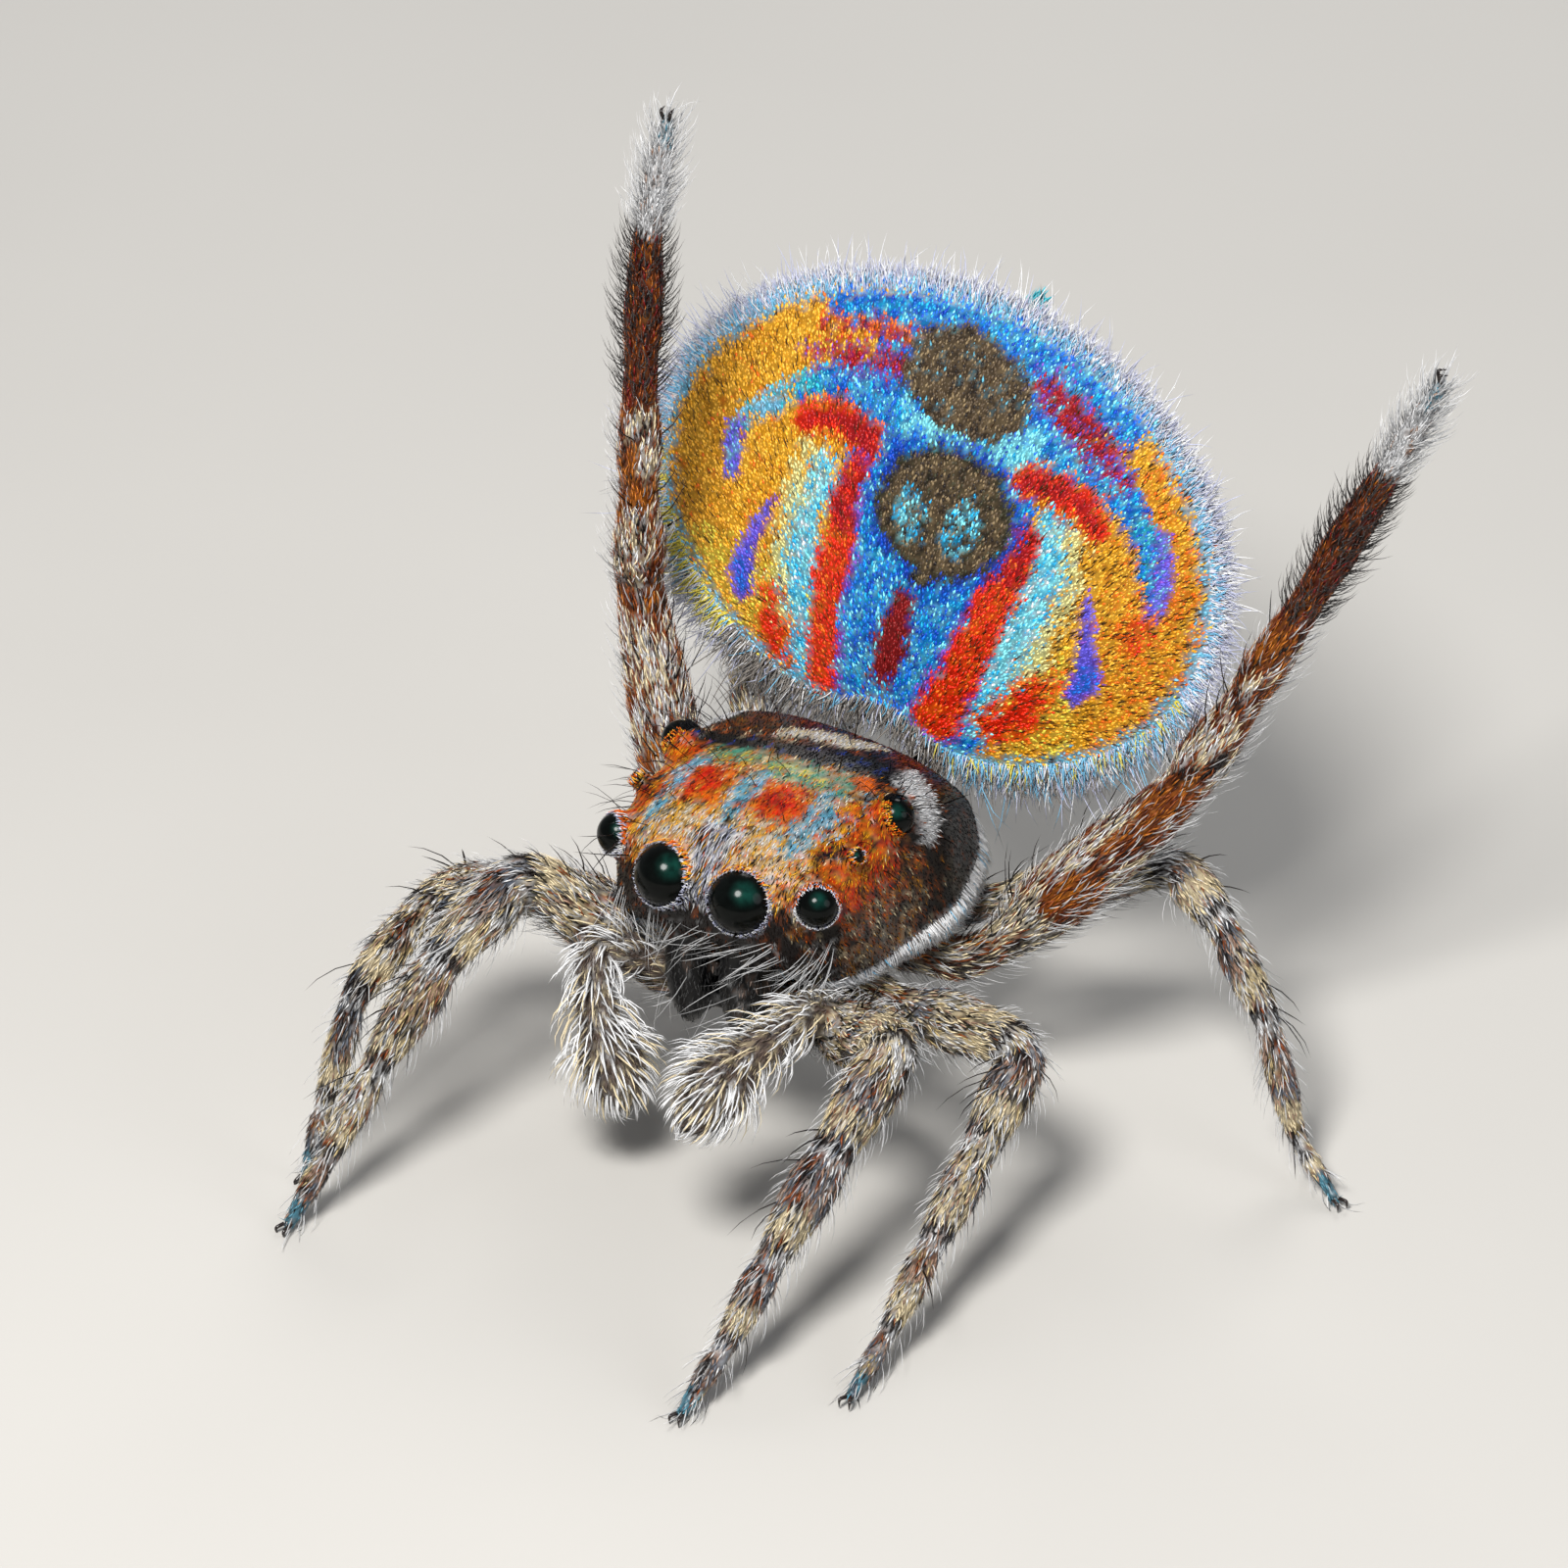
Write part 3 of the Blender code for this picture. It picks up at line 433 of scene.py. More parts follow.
def fan_find(points):
    """The other way round: how far across, along and deep in the fan each place lies."""
    x, y, z = (points - FAN_AT).T
    y = y - math.cos(FAN_LEAN) / FAN_BEND
    z = z + math.sin(FAN_LEAN) / FAN_BEND
    s = (np.arctan2(z, -y) - FAN_LEAN) / FAN_BEND
    across = x * math.cos(FAN_SWING) - s * math.sin(FAN_SWING)
    along = x * math.sin(FAN_SWING) + s * math.cos(FAN_SWING)
    deep = 1 / FAN_BEND - np.hypot(y, z) - across**2 / (2 * FAN_DROOP)
    return across, along, deep


def fan_edge(across):
    """How far the fan reaches up and down at this distance from its middle line."""
    reach = FAN_HALF_LENGTH * np.sqrt(np.maximum(0.0, 1 - (across / FAN_HALF_WIDTH) ** 2))
    notch = FAN_NOTCH * np.exp(-((across / FAN_NOTCH_WIDTH) ** 2))
    return FAN_MIDDLE + reach, FAN_MIDDLE - reach + notch


def fan_shape():
    """The whole fan as one curved plate, thinner towards its edge."""
    bm = bmesh.new()
    bmesh.ops.create_grid(bm, x_segments=90, y_segments=60, size=1.0)
    places = np.array([vert.co for vert in bm.verts])
    across = FAN_HALF_WIDTH * 0.996 * np.sin(places[:, 0] * math.pi / 2)
    top, bottom = fan_edge(across)
    height = np.sin(places[:, 1] * math.pi / 2)
    along = (top + bottom) / 2 + height * (top - bottom) / 2
    out = np.maximum(np.abs(height), np.abs(across) / FAN_HALF_WIDTH)
    thick = FAN_THICKNESS + (RIM_THICKNESS - FAN_THICKNESS) * out**3
    fronts = bm.verts[:]
    made = bmesh.ops.duplicate(bm, geom=fronts + bm.edges[:] + bm.faces[:])
    backs = [made["vert_map"][vert] for vert in fronts]
    for vert, place in zip(fronts, fan_place(across, along)):
        vert.co = place
    for vert, place in zip(backs, fan_place(across, along, thick)):
        vert.co = place
    rims = [edge for edge in bm.edges if edge.is_boundary]
    bmesh.ops.bridge_loops(bm, edges=rims)
    bmesh.ops.recalc_face_normals(bm, faces=bm.faces)
    return mesh_of("fan", bm)


def belly_shape():
    mesh = ball_shape("belly", BELLY_AT, BELLY_SIZE, BELLY_SQUARENESS)
    for vert in mesh.vertices:
        across, along, deep = (np.float64(c) for c in vert.co)
        vert.co = fan_place(across, along, deep)
    mesh.flip_normals()
    return mesh


def body_shapes():
    """Every flesh part as a label and a closed mesh, and the courses of the limbs."""
    shapes = [("carapace", carapace_shape())]
    shapes.append(("sternum", ball_shape("sternum", STERNUM_AT, STERNUM_SIZE)))
    courses = {}
    for side, sign in SIDES.items():
        centre = Vector((sign * CHELICERA_AT.x, CHELICERA_AT.y, CHELICERA_AT.z))
        shapes.append((f"jaw_{side}", ball_shape("jaw", centre, CHELICERA_SIZE)))
        joints = [Vector(p) for p in PALP_JOINTS[side]]
        for near, far, radius in zip(joints, joints[1:-1], PALP_RADII):
            places = [near.lerp(far, share) for share, _ in PALP_BEAD]
            radii = [radius * swell for _, swell in PALP_BEAD]
            shapes.append((f"palp_{side}", tube_shape("palp", *smooth_course(places, radii, 3))))
        places = [joints[-2].lerp(joints[-1], share) for share, _ in PALP_TIP]
        radii = [PALP_TIP_RADIUS * swell for _, swell in PALP_TIP]
        shapes.append((f"palp_{side}", tube_shape("palp", *smooth_course(places, radii, 4), 7)))
        courses[f"palp_{side}"] = smooth_course(joints, [*PALP_RADII, 0.1, PALP_TIP_RADIUS], 8)
        for pair in LEG_LENGTHS:
            label = f"leg_{pair}_{side}"
            courses[label] = leg_course(pair, leg_joints(side, pair))
            shapes.append((label, tube_shape("leg", *courses[label])))
        for name, radius, place, look in EYES:
            centre, size, _ = collar_ball(sign, radius, place, look)
            shapes.append(("carapace", ball_shape("collar", centre, (size,) * 3)))
    shapes.append(("fan", fan_shape()))
    shapes.append(("belly", belly_shape()))
    base = Vector(fan_place(0.0, FAN_HALF_LENGTH - SPINNERET_REACH[0], SPINNERET_DEPTH))
    tip = Vector(fan_place(0.0, FAN_HALF_LENGTH + SPINNERET_REACH[1], SPINNERET_DEPTH))
    course = smooth_course((base, base.lerp(tip, 0.6), tip), SPINNERET_RADII, 5)
    shapes.append(("spinnerets", tube_shape("spinnerets", *course)))
    course = smooth_course([Vector(p) for p in PEDICEL], [PEDICEL_RADIUS] * 3, 4)
    shapes.append(("pedicel", tube_shape("pedicel", *course)))
    return shapes, courses


def skin_mesh(shapes):
    """One seamless surface over all the parts, a coat's depth inside them."""
    bm = bmesh.new()
    for _, mesh in shapes:
        bm.from_mesh(mesh)
    joined = mesh_of("joined", bm)
    remesh = ("REMESH", {"mode": "VOXEL", "voxel_size": SKIN_VOXEL, "adaptivity": 0.0})
    skin = with_modifiers(joined, remesh, ("SMOOTH", {"factor": 0.5, "iterations": 4}))
    places, normals = points_of(skin)
    places = places - normals * COAT_DEPTH
    places[:, 2] = np.maximum(places[:, 2], FLOOR + SKIN_CLEAR)
    skin.vertices.foreach_set("co", places.ravel())
    skin.update()
    return skin


def label_finder(shapes):
    """A function that names the part nearest to a place."""
    corners = []
    polygons = []
    owners = []
    for label, mesh in shapes:
        start = len(corners)
        corners.extend(vert.co.copy() for vert in mesh.vertices)
        for face in mesh.polygons:
            polygons.append([start + v for v in face.vertices])
            owners.append(label)
    tree = BVHTree.FromPolygons(corners, polygons)
    return lambda place: owners[tree.find_nearest(place)[2]]


# The coat: many tapered tufts from arrays

# Rings of a tuft as shares of its length and of its width, before it closes at its point
SCALE = ((0.0, 0.55), (0.5, 1.0))
HAIR = ((0.0, 1.0), (0.55, 0.72))
LONG_HAIR = ((0.0, 1.0), (0.35, 0.85), (0.7, 0.55))
# Size of a tuft's patch on the unwrap, and the share of the unwrap that the patches' places fill
PATCH = 0.003
CHART_SHARE = 0.985
# Least bend of a tuft in radians, so that its arc is never divided by nothing
LEAST_BEND = 0.02
# Tries at a tuft for each cell of the spacing, so that nearly every cell gets one
TRIES = 2.6


def lucky(count, chance):
    """Picks at random, each with this chance."""
    return rng.uniform(0, 1, count) < chance


def chart_of(u, v):
    """Places on the unwrap, from shares of 0 to 1."""
    return np.stack([np.clip(u, 0, 1) * CHART_SHARE, np.clip(v, 0, 1) * CHART_SHARE], axis=-1)


def tuft_rows(
    roots, outs, lies, length, width, lift, end, colour, chart,
    spread=0.16, vary=0.18, thick=0.5, shake=0.08, sway=0.12, root_tone=0.55,
):
    """One row a tuft: place, directions, size, bend from its lift to its end angle, colour, painted shade
    darkening its root, chart place.
    """
    count = len(roots)
    turn = rng.normal(0, spread, count)[:, None]
    aside = np.cross(outs, lies)
    lies = unit(lies + aside * np.tan(np.clip(turn, -1.2, 1.2)))
    filled = np.ones(count)
    return {
        "root": np.asarray(roots, float),
        "out": outs,
        "lie": level(lies, outs),
        "length": length * filled * rng.uniform(1 - vary, 1 + vary, count),
        "width": width * filled * rng.uniform(0.85, 1.15, count),
        "thick": thick * filled,
        "lift": np.radians(lift) * filled + rng.normal(0, shake, count),
        "end": np.radians(end) * filled + rng.normal(0, shake, count),
        "sway": rng.normal(0, sway, count),
        "root_tone": root_tone * filled,
        "colour": colour,
        "chart": chart,
    }


def joined_rows(groups):
    return {key: np.concatenate([group[key] for group in groups]) for key in groups[0]}


def picked(rows, part):
    """The tufts that a mask picks."""
    return {key: value[part] for key, value in rows.items()}


def coat_piece(name, rows, profile, material):
    """One mesh of closed, tapered, bent tufts with three-cornered rings, each darkened towards its root as
    painted shade.
    """
    count = len(rows["root"])
    shares = np.array([share for share, _ in profile] + [1.0])
    swells = np.array([swell for _, swell in profile] + [0.0])
    root, out, lie, colour, chart = (
        rows[key][:, None, :] for key in ("root", "out", "lie", "colour", "chart")
    )
    lift, end, length, width, thick, sway, root_tone = (
        rows[key][:, None] for key in ("lift", "end", "length", "width", "thick", "sway", "root_tone")
    )
    turn = end - lift
    turn = np.where(np.abs(turn) < LEAST_BEND, LEAST_BEND, turn)
    angle = lift + turn * shares
    ahead = (np.sin(angle) - np.sin(lift)) / turn
    above = (np.cos(lift) - np.cos(angle)) / turn
    aside = np.cross(rows["out"], rows["lie"])[:, None, :]
    centre = root - out * ROOT_DEPTH
    centre = centre + lie * (ahead * length)[..., None]
    centre = centre + out * (above * length)[..., None]
    centre = centre + aside * (sway * shares**2 * length)[..., None]
    upright = out * np.cos(angle)[..., None] - lie * np.sin(angle)[..., None]
    wide = aside * (width * swells)[..., None]
    high = upright * (width * thick * swells)[..., None]
    rings = np.stack([centre + wide, centre + high, centre - wide], axis=2)[:, :-1]
    steps = len(profile)
    points = np.concatenate([rings.reshape(count, -1, 3), centre[:, -1:, :]], axis=1)
    points[..., 2] = np.maximum(points[..., 2], FLOOR + COAT_CLEAR)

    faces = [(0, 1, 2)]
    for step in range(steps - 1):
        for i in range(3):
            a, b = step * 3 + i, step * 3 + (i + 1) % 3
            faces += [(a, a + 3, b + 3), (a, b + 3, b)]
    last = steps * 3 - 3
    faces += [(last + i, steps * 3, last + (i + 1) % 3) for i in range(3)]
    faces = np.array(faces)
    a, b, c = (points[0][faces[:, i]] for i in range(3))
    if np.sum(np.cross(a, b) * c) < 0:
        faces = faces[:, ::-1]
    per = steps * 3 + 1
    corners = (faces[None] + (np.arange(count) * per)[:, None, None]).reshape(-1)

    mesh = bpy.data.meshes.new(name)
    mesh.vertices.add(count * per)
    mesh.vertices.foreach_set("co", points.ravel())
    mesh.loops.add(len(corners))
    mesh.loops.foreach_set("vertex_index", corners.astype(np.int32))
    mesh.polygons.add(len(corners) // 3)
    mesh.polygons.foreach_set("loop_start", np.arange(0, len(corners), 3, dtype=np.int32))
    mesh.update(calc_edges=True)

    at = np.array(np.repeat(shares[:-1], 3).tolist() + [1.0])
    # Painted shade: each tuft's colour darkens towards its root, standing in for the shade down among the
    # tufts
    painted_shade = root_tone + (1 - root_tone) * at
    set_marks(mesh, (colour * painted_shade[..., None]).reshape(-1, 3))

    patch = np.zeros((per, 2))
    patch[:, 0] = at * PATCH
    patch[:-1, 1] = np.tile((0.0, PATCH / 2, PATCH), steps)
    patch[-1, 1] = PATCH / 2
    places = chart * 0.99 + PATCH + patch[None]
    atlas = mesh.uv_layers.new(name="OFBake")
    atlas.uv.foreach_set("vector", places.reshape(-1, 2)[corners].ravel())
    finish_piece(name, mesh, material)


def sampled(skin, labels, wanted):
    """Evenly scattered places on the skin, with their outward directions and labels.

    wanted gives the spacing in millimetres by the first word of a label; other parts get no samples.
    """
    skin.calc_loop_triangles()
    tris = np.empty(len(skin.loop_triangles) * 3, np.int32)
    skin.loop_triangles.foreach_get("vertices", tris)
    tris = tris.reshape(-1, 3)
    places, normals = points_of(skin)
    spacing = np.array([wanted.get(label.split("_")[0], 0.0) for label in labels])[tris[:, 0]]
    a, b, c = (places[tris[:, i]] for i in range(3))
    area = np.linalg.norm(np.cross(b - a, c - a), axis=1) / 2
    tries = np.where(spacing > 0, TRIES * area / np.maximum(spacing, 1e-3) ** 2, 0)
    copies = np.floor(tries + rng.uniform(0, 1, len(tries))).astype(int)
    owner = np.repeat(np.arange(len(tris)), copies)
    mix = rng.dirichlet((1, 1, 1), len(owner))
    points = sum(places[tris[owner, i]] * mix[:, i : i + 1] for i in range(3))
    outs = unit(sum(normals[tris[owner, i]] * mix[:, i : i + 1] for i in range(3)))
    size = spacing[owner][:, None]
    cells = np.floor(points / size).astype(np.int64)
    keys = np.concatenate([cells, (size * 1e4).astype(np.int64)], axis=1)
    _, first = np.unique(keys, axis=0, return_index=True)
    first = np.sort(first)
    return points[first], outs[first], labels[tris[owner[first], 0]]


def along_course(points, course):
    """Share along a course and direction towards its end, at the nearest place on it."""
    places, _ = course
    best = np.full(len(points), 1e9)
    share = np.zeros(len(points))
    ahead = np.zeros((len(points), 3))
    lengths = np.linalg.norm(np.diff(places, axis=0), axis=1)
    run = np.concatenate([[0.0], np.cumsum(lengths)])
    for i, (near, far) in enumerate(zip(places, places[1:])):
        step = far - near
        t = np.clip((points - near) @ step / (step @ step), 0, 1)
        gap = np.linalg.norm(points - (near + t[:, None] * step), axis=1)
        closer = gap < best
        best[closer] = gap[closer]
        share[closer] = (run[i] + t[closer] * lengths[i]) / run[-1]
        ahead[closer] = step / lengths[i]
    return share, ahead


# Markings

INK = {
    name: np.array(linear(code))
    for name, code in {
        "gold": "F0A61A", "bright_gold": "FFBE3A", "deep_gold": "CC8616", "dash": "4A2E0C",
        "yellow": "E8D84A", "pale_yellow": "E9E59A", "orange": "F87010", "amber": "BE6E1C",
        "red": "EE2A0C", "crimson": "B0141C", "dark_red": "8C1416", "rust": "964A18",
        "deep_rust": "5A2410", "cyan": "18B4F0", "bright_cyan": "8CF0FF", "turquoise": "2FC3D6",
        "blue": "0C72EC", "deep_blue": "0846C4", "light_blue": "7CC4EA", "sky": "62B2CC",
        "steel": "5C9AB0", "slate": "6E7684", "purple": "6E62F2", "violet": "8A4FC8",
        "lavender": "C4C8E2", "green": "4FA58A", "olive": "3E3D2A", "brown": "5C4C38",
        "brown_light": "8A7656", "pale_brown": "B4907A", "pink_brown": "8A7468", "beige": "DCC48C",
        "cream": "F2E0B8", "white": "F1F2F4", "belly": "A8A49A", "grey": "8E8780", "dark": "1C1412",
        # The eyes' dark green is a painted reflection, laid where the corneas face the light
        "blue_black": "10151F", "black": "07080C", "eye_black": "040605", "eye_painted_reflection": "0A3029",
    }.items()
}


def inked(name, count, low=None, high=None):
    """One colour for a number of tufts, each at a brightness between two shares where they are given."""
    tone = np.tile(INK[name], (count, 1))
    return tone if low is None else tone * rng.uniform(low, high, (count, 1))


def band(x, s, course):
    """How deep each place lies inside a band; its course gives (x, s, half width)."""
    best = np.full(len(x), -9.0)
    for (x0, s0, w0), (x1, s1, w1) in zip(course, course[1:]):
        dx, ds = x1 - x0, s1 - s0
        share = np.clip(((x - x0) * dx + (s - s0) * ds) / (dx * dx + ds * ds), 0, 1)
        gap = np.hypot(x - x0 - share * dx, s - s0 - share * ds)
        best = np.maximum(best, w0 + (w1 - w0) * share - gap)
    return best


def spot(x, s, centre, half, turn=0.0):
    """How deep each place lies inside an oval."""
    c, k = math.cos(math.radians(turn)), math.sin(math.radians(turn))
    dx, ds = x - centre[0], s - centre[1]
    reach = np.hypot((dx * c + ds * k) / half[0], (ds * c - dx * k) / half[1])
    return (1 - reach) * min(half)


def paint(tone, depth, ragged=0.02, **inks):
    """Lays colours over a mark one by one, each on its share of the tufts; scales mix at the edge."""
    for name, strength in inks.items():
        inside = depth + rng.normal(0, ragged, len(depth)) > 0
        inside &= lucky(len(depth), strength)
        tone[inside] = INK[name]


def speckle(tone, where, **inks):
    """Turns shares of the tufts in a place to other colours, one by one."""
    for name, share in inks.items():
        tone[where & lucky(len(tone), share)] = INK[name]


# Marks of the fan as seen from the front: side is +X, up is the hind end
BLUE_FIELDS = (
    ((-0.12, 0.62, 0.60), (-0.12, -0.2, 0.52), (-0.10, -0.95, 0.52)),
    ((-0.95, 1.0, 0.06), (-0.50, 1.03, 0.16), (0.0, 1.05, 0.26), (0.5, 0.97, 0.21), (0.85, 0.85, 0.09)),
    ((-1.02, 0.52, 0.05), (-0.85, 0.64, 0.09), (-0.4, 0.62, 0.13), (0.0, 0.58, 0.15),
     (0.45, 0.62, 0.16), (0.80, 0.60, 0.11), (1.08, 0.38, 0.07), (1.22, 0.10, 0.05)),
)
ORANGE_ARC = ((-1.0, 0.88, 0.05), (-0.7, 0.95, 0.05), (-0.3, 0.95, 0.04))
LIT_BLUE = ((-0.3, 0.60, 0.14), (0.35, 0.56, 0.13))
BLUE_TAILS = {
    "left": ((-0.98, 0.54, 0.07), (-1.14, 0.44, 0.06), (-1.30, 0.28, 0.05)),
    "right": ((1.08, 0.38, 0.05), (1.24, 0.08, 0.05)),
}
RED_SHORT = {
    "left": ((-0.95, 0.38, 0.07), (-0.78, 0.43, 0.085), (-0.60, 0.40, 0.085), (-0.55, 0.30, 0.045)),
    "right": ((0.36, 0.42, 0.06), (0.55, 0.44, 0.085), (0.74, 0.39, 0.085), (0.84, 0.30, 0.05)),
}
RED_UPPER = {
    "left": ((-1.0, 0.74, 0.04), (-0.75, 0.78, 0.06), (-0.5, 0.80, 0.06)),
    "right": ((0.36, 0.92, 0.09), (0.60, 0.78, 0.10), (0.82, 0.66, 0.06), (0.90, 0.58, 0.03)),
}
RED_LONG = {
    "left": ((-0.62, 0.18, 0.07), (-0.62, -0.2, 0.09), (-0.62, -0.65, 0.09), (-0.57, -0.97, 0.08)),
    "right": ((0.46, 0.13, 0.07), (0.38, -0.15, 0.11), (0.27, -0.5, 0.11), (0.12, -0.95, 0.13)),
}
DARK_RED = ((-0.17, -0.38, 0.07), (-0.20, -0.65, 0.09), (-0.24, -0.88, 0.05))
CYAN_EDGE = {
    "left": ((-0.80, 0.14, 0.07), (-0.83, -0.3, 0.10), (-0.79, -0.7, 0.09), (-0.72, -1.0, 0.06)),
    "right": ((0.58, 0.28, 0.08), (0.62, 0.0, 0.11), (0.52, -0.4, 0.11), (0.36, -0.9, 0.10)),
}
PALE_EDGE = {
    "left": ((-0.90, 0.24, 0.05), (-0.94, -0.3, 0.05), (-0.88, -0.75, 0.05)),
    "right": ((0.70, 0.26, 0.05), (0.76, 0.0, 0.06), (0.67, -0.42, 0.06), (0.52, -0.85, 0.05)),
}
PURPLE_MARKS = (
    ((-1.36, 0.22, 0.03), (-1.33, 0.05, 0.045), (-1.33, -0.02, 0.03)),
    ((-1.04, -0.10, 0.015), (-1.13, -0.35, 0.035), (-1.15, -0.52, 0.065), (-1.12, -0.62, 0.05)),
    ((1.20, 0.36, 0.04), (1.27, 0.14, 0.045), (1.25, -0.03, 0.035)),
    ((0.87, -0.06, 0.015), (0.92, -0.30, 0.04), (0.94, -0.48, 0.075), (0.89, -0.57, 0.05)),
)
RED_WEDGES = (
    ((0.72, -0.58, 0.05), (0.62, -0.74, 0.11), (0.46, -0.88, 0.09)),
    ((-0.95, -0.60, 0.04), (-0.91, -0.78, 0.07), (-0.84, -0.93, 0.05)),
    ((1.21, -0.10, 0.02), (1.15, -0.18, 0.04)),
)
# Ovals as centre, half sizes and turn in degrees
BROWN_OVAL = ((-0.05, 0.13), (0.40, 0.34))
BROWN_NECK = ((-0.05, -0.1, 0.12), (-0.10, -0.25, 0.05))
BROWN_TOP = ((-0.11, 0.81), (0.40, 0.27), -12)
COMMAS = (((-0.24, 0.08), (0.10, 0.16), 18), ((0.07, 0.08), (0.10, 0.16), -18))
FAN_AXIS = -0.08


def fan_colours(x, s, points):
    """Colour of every scale on the raised back."""
    wobble = ripple(points, 0.16, 5) * 0.012

    def inside(course):
        return band(x, s, course) + wobble

    tone = inked("gold", len(x))
    speckle(tone, True, bright_gold=0.55, deep_gold=0.08)
    speckle(tone, x > 1.0, orange=0.22)
    speckle(tone, ripple(points, 0.14, 15) > 0.2, orange=0.10)
    speckle(tone, (s < -0.35) & (x < 0.9) & (np.abs(x) > 0.5), yellow=0.35)
    for course in BLUE_FIELDS:
        depth = inside(course)
        paint(tone, depth, blue=1)
        paint(tone, depth - 0.01, deep_blue=0.5, cyan=0.36)
        paint(tone, depth - 0.03, bright_cyan=0.2)
    paint(tone, band(x, s, ORANGE_ARC), orange=0.6, crimson=0.3)
    paint(tone, inside(LIT_BLUE), bright_cyan=0.55)
    tail = band(x, s, BLUE_TAILS["left"])
    paint(tone, tail, turquoise=0.55)
    paint(tone, np.where(x < -1.1, tail, -1.0), light_blue=0.75)
    paint(tone, band(x, s, BLUE_TAILS["right"]), turquoise=0.45)

    for side in ("right", "left"):
        paint(tone, inside(CYAN_EDGE[side]), 0.03, cyan=1, bright_cyan=0.65, white=0.12)
        paint(tone, inside(PALE_EDGE[side]), 0.035, pale_yellow=0.8)
        depth = inside(RED_UPPER[side])
        paint(tone, depth + 0.03, 0.03, violet=0.35)
        paint(tone, depth, 0.03, crimson=0.8)
        depth = inside(RED_SHORT[side])
        paint(tone, depth + 0.02, orange=0.8)
        paint(tone, depth, red=1)
        paint(tone, depth + np.where(np.abs(x - FAN_AXIS) < 0.62, 0.0, -0.05), crimson=0.75)
        depth = inside(RED_LONG[side])
        inner = np.abs(x - FAN_AXIS) < np.interp(s, (-1, 0.2), (0.4, 0.55))
        paint(tone, depth + np.where(inner, 0.035, -0.05), 0.015, violet=0.7)
        paint(tone, depth, 0.015, red=1)
        speckle(tone, depth > 0.02, orange=0.25)
        speckle(tone, (depth > 0.0) & (s > -0.15), crimson=0.6)
    paint(tone, inside(DARK_RED), dark_red=1)
    for course in PURPLE_MARKS:
        depth = band(x, s, course) + wobble * 0.5
        paint(tone, depth + 0.012, 0.012, violet=0.7)
        paint(tone, depth, 0.012, purple=1)
        speckle(tone, (depth > 0.02) & (s < -0.4), blue=0.6)
        speckle(tone, (depth > 0.0) & (s > -0.05), light_blue=0.35)
    for course in RED_WEDGES:
        depth = inside(course)
        paint(tone, depth + 0.03, 0.04, orange=0.8)
        paint(tone, depth - 0.01, 0.03, red=0.9)

    depth = np.maximum(spot(x, s, *BROWN_OVAL), band(x, s, BROWN_NECK)) + wobble
    paint(tone, depth + 0.05, deep_blue=0.75)
    paint(tone, depth, 0.012, olive=1)
    speckle(tone, depth > 0.03, brown=0.75)
    speckle(tone, depth > 0.04, brown_light=0.35)
    speckle(tone, depth > 0.01, dark=0.22)
    for oval in COMMAS:
        paint(tone, spot(x, s, *oval), 0.01, bright_cyan=0.30, cyan=0.25)
    depth = spot(x, s, *BROWN_TOP) + wobble
    paint(tone, depth, 0.012, brown=1)
    speckle(tone, depth > 0.01, brown_light=0.30, dark=0.2, sky=0.05)
    return tone


def rim_colours(turn, inwards):
    """Colour of hairs near the fan's edge, by their direction from its middle and distance inside it."""
    degrees = np.degrees(turn)
    tone = inked("lavender", len(turn))
    speckle(tone, True, white=0.45)
    speckle(tone, inwards > 0.025, light_blue=0.45)
    low_left = (degrees < -125) & (degrees > -170)
    speckle(tone, low_left & (inwards > 0.03), yellow=0.6)
    low_right = (degrees < -15) & (degrees > -80)
    speckle(tone, low_right & (inwards > 0.03), yellow=0.28)
    speckle(tone, low_right & (inwards < 0.05), grey=0.4)
    speckle(tone, low_right, light_blue=0.25)
    speckle(tone, (degrees < -75) & (degrees > -125), grey=0.7)
    return tone


# Marks of the carapace seen from above: x to the left side, y behind the eye row
PALE_FRONT = ((-0.40, 0.02, 0.06), (0.0, 0.05, 0.11), (0.34, 0.06, 0.07), (0.50, 0.14, 0.05))
MIXED_SIDE = ((0.40, 0.20, 0.09), (0.50, 0.36, 0.08), (0.48, 0.52, 0.05))
GOLD_ROWS = ((-0.34, 0.56, 0.06), (0.0, 0.58, 0.05), (0.36, 0.62, 0.06))
SKY_STRIPES = (
    ((-0.45, 0.04, 0.04), (-0.46, 0.20, 0.055), (-0.43, 0.32, 0.065), (-0.39, 0.44, 0.055)),
    ((-0.02, 0.10, 0.03), (-0.05, 0.24, 0.05), (-0.03, 0.34, 0.07), (-0.02, 0.46, 0.045)),
    ((0.36, 0.08, 0.035), (0.37, 0.22, 0.06), (0.38, 0.35, 0.065), (0.35, 0.49, 0.045)),
)
GREEN_PATCHES = (((-0.24, 0.54), (0.16, 0.08)), ((0.14, 0.56), (0.17, 0.08)))
RED_PATCHES = (((-0.26, 0.31), (0.10, 0.09)), ((0.18, 0.34), (0.11, 0.10)))
ORANGE_PATCH = ((0.44, 0.70), (0.06, 0.05))
DARK_BAND = ((-0.75, 0.70, 0.06), (-0.40, 0.64, 0.06), (-0.14, 0.67, 0.06), (0.12, 0.73, 0.07),
             (0.34, 0.84, 0.10), (0.55, 0.92, 0.09))
CREAM_BAND = ((-0.14, 0.83, 0.03), (0.03, 0.93, 0.075), (0.18, 1.0, 0.08), (0.28, 1.1, 0.035))
# On each side: warm ovals ahead of the hind eyes, the dark streak at the small eye, and the pale
# crescent behind each hind eye, as (y, height, half width)
GLEAMS = (((0.56, 0.50), (0.12, 0.11)), ((0.60, 0.22), (0.15, 0.14)))
DARK_STREAK = ((0.60, 0.27, 0.035), (0.50, 0.16, 0.02))
CRESCENT = ((1.06, 0.25, 0.055), (0.91, 0.14, 0.095), (0.84, 0.0, 0.055))
MARGIN_BAND = 0.15


def margin_height(y, z):
    """Height of each place above the carapace's lower margin."""
    return z - np.interp(y, [row[0] for row in CARAPACE], [row[3] for row in CARAPACE])


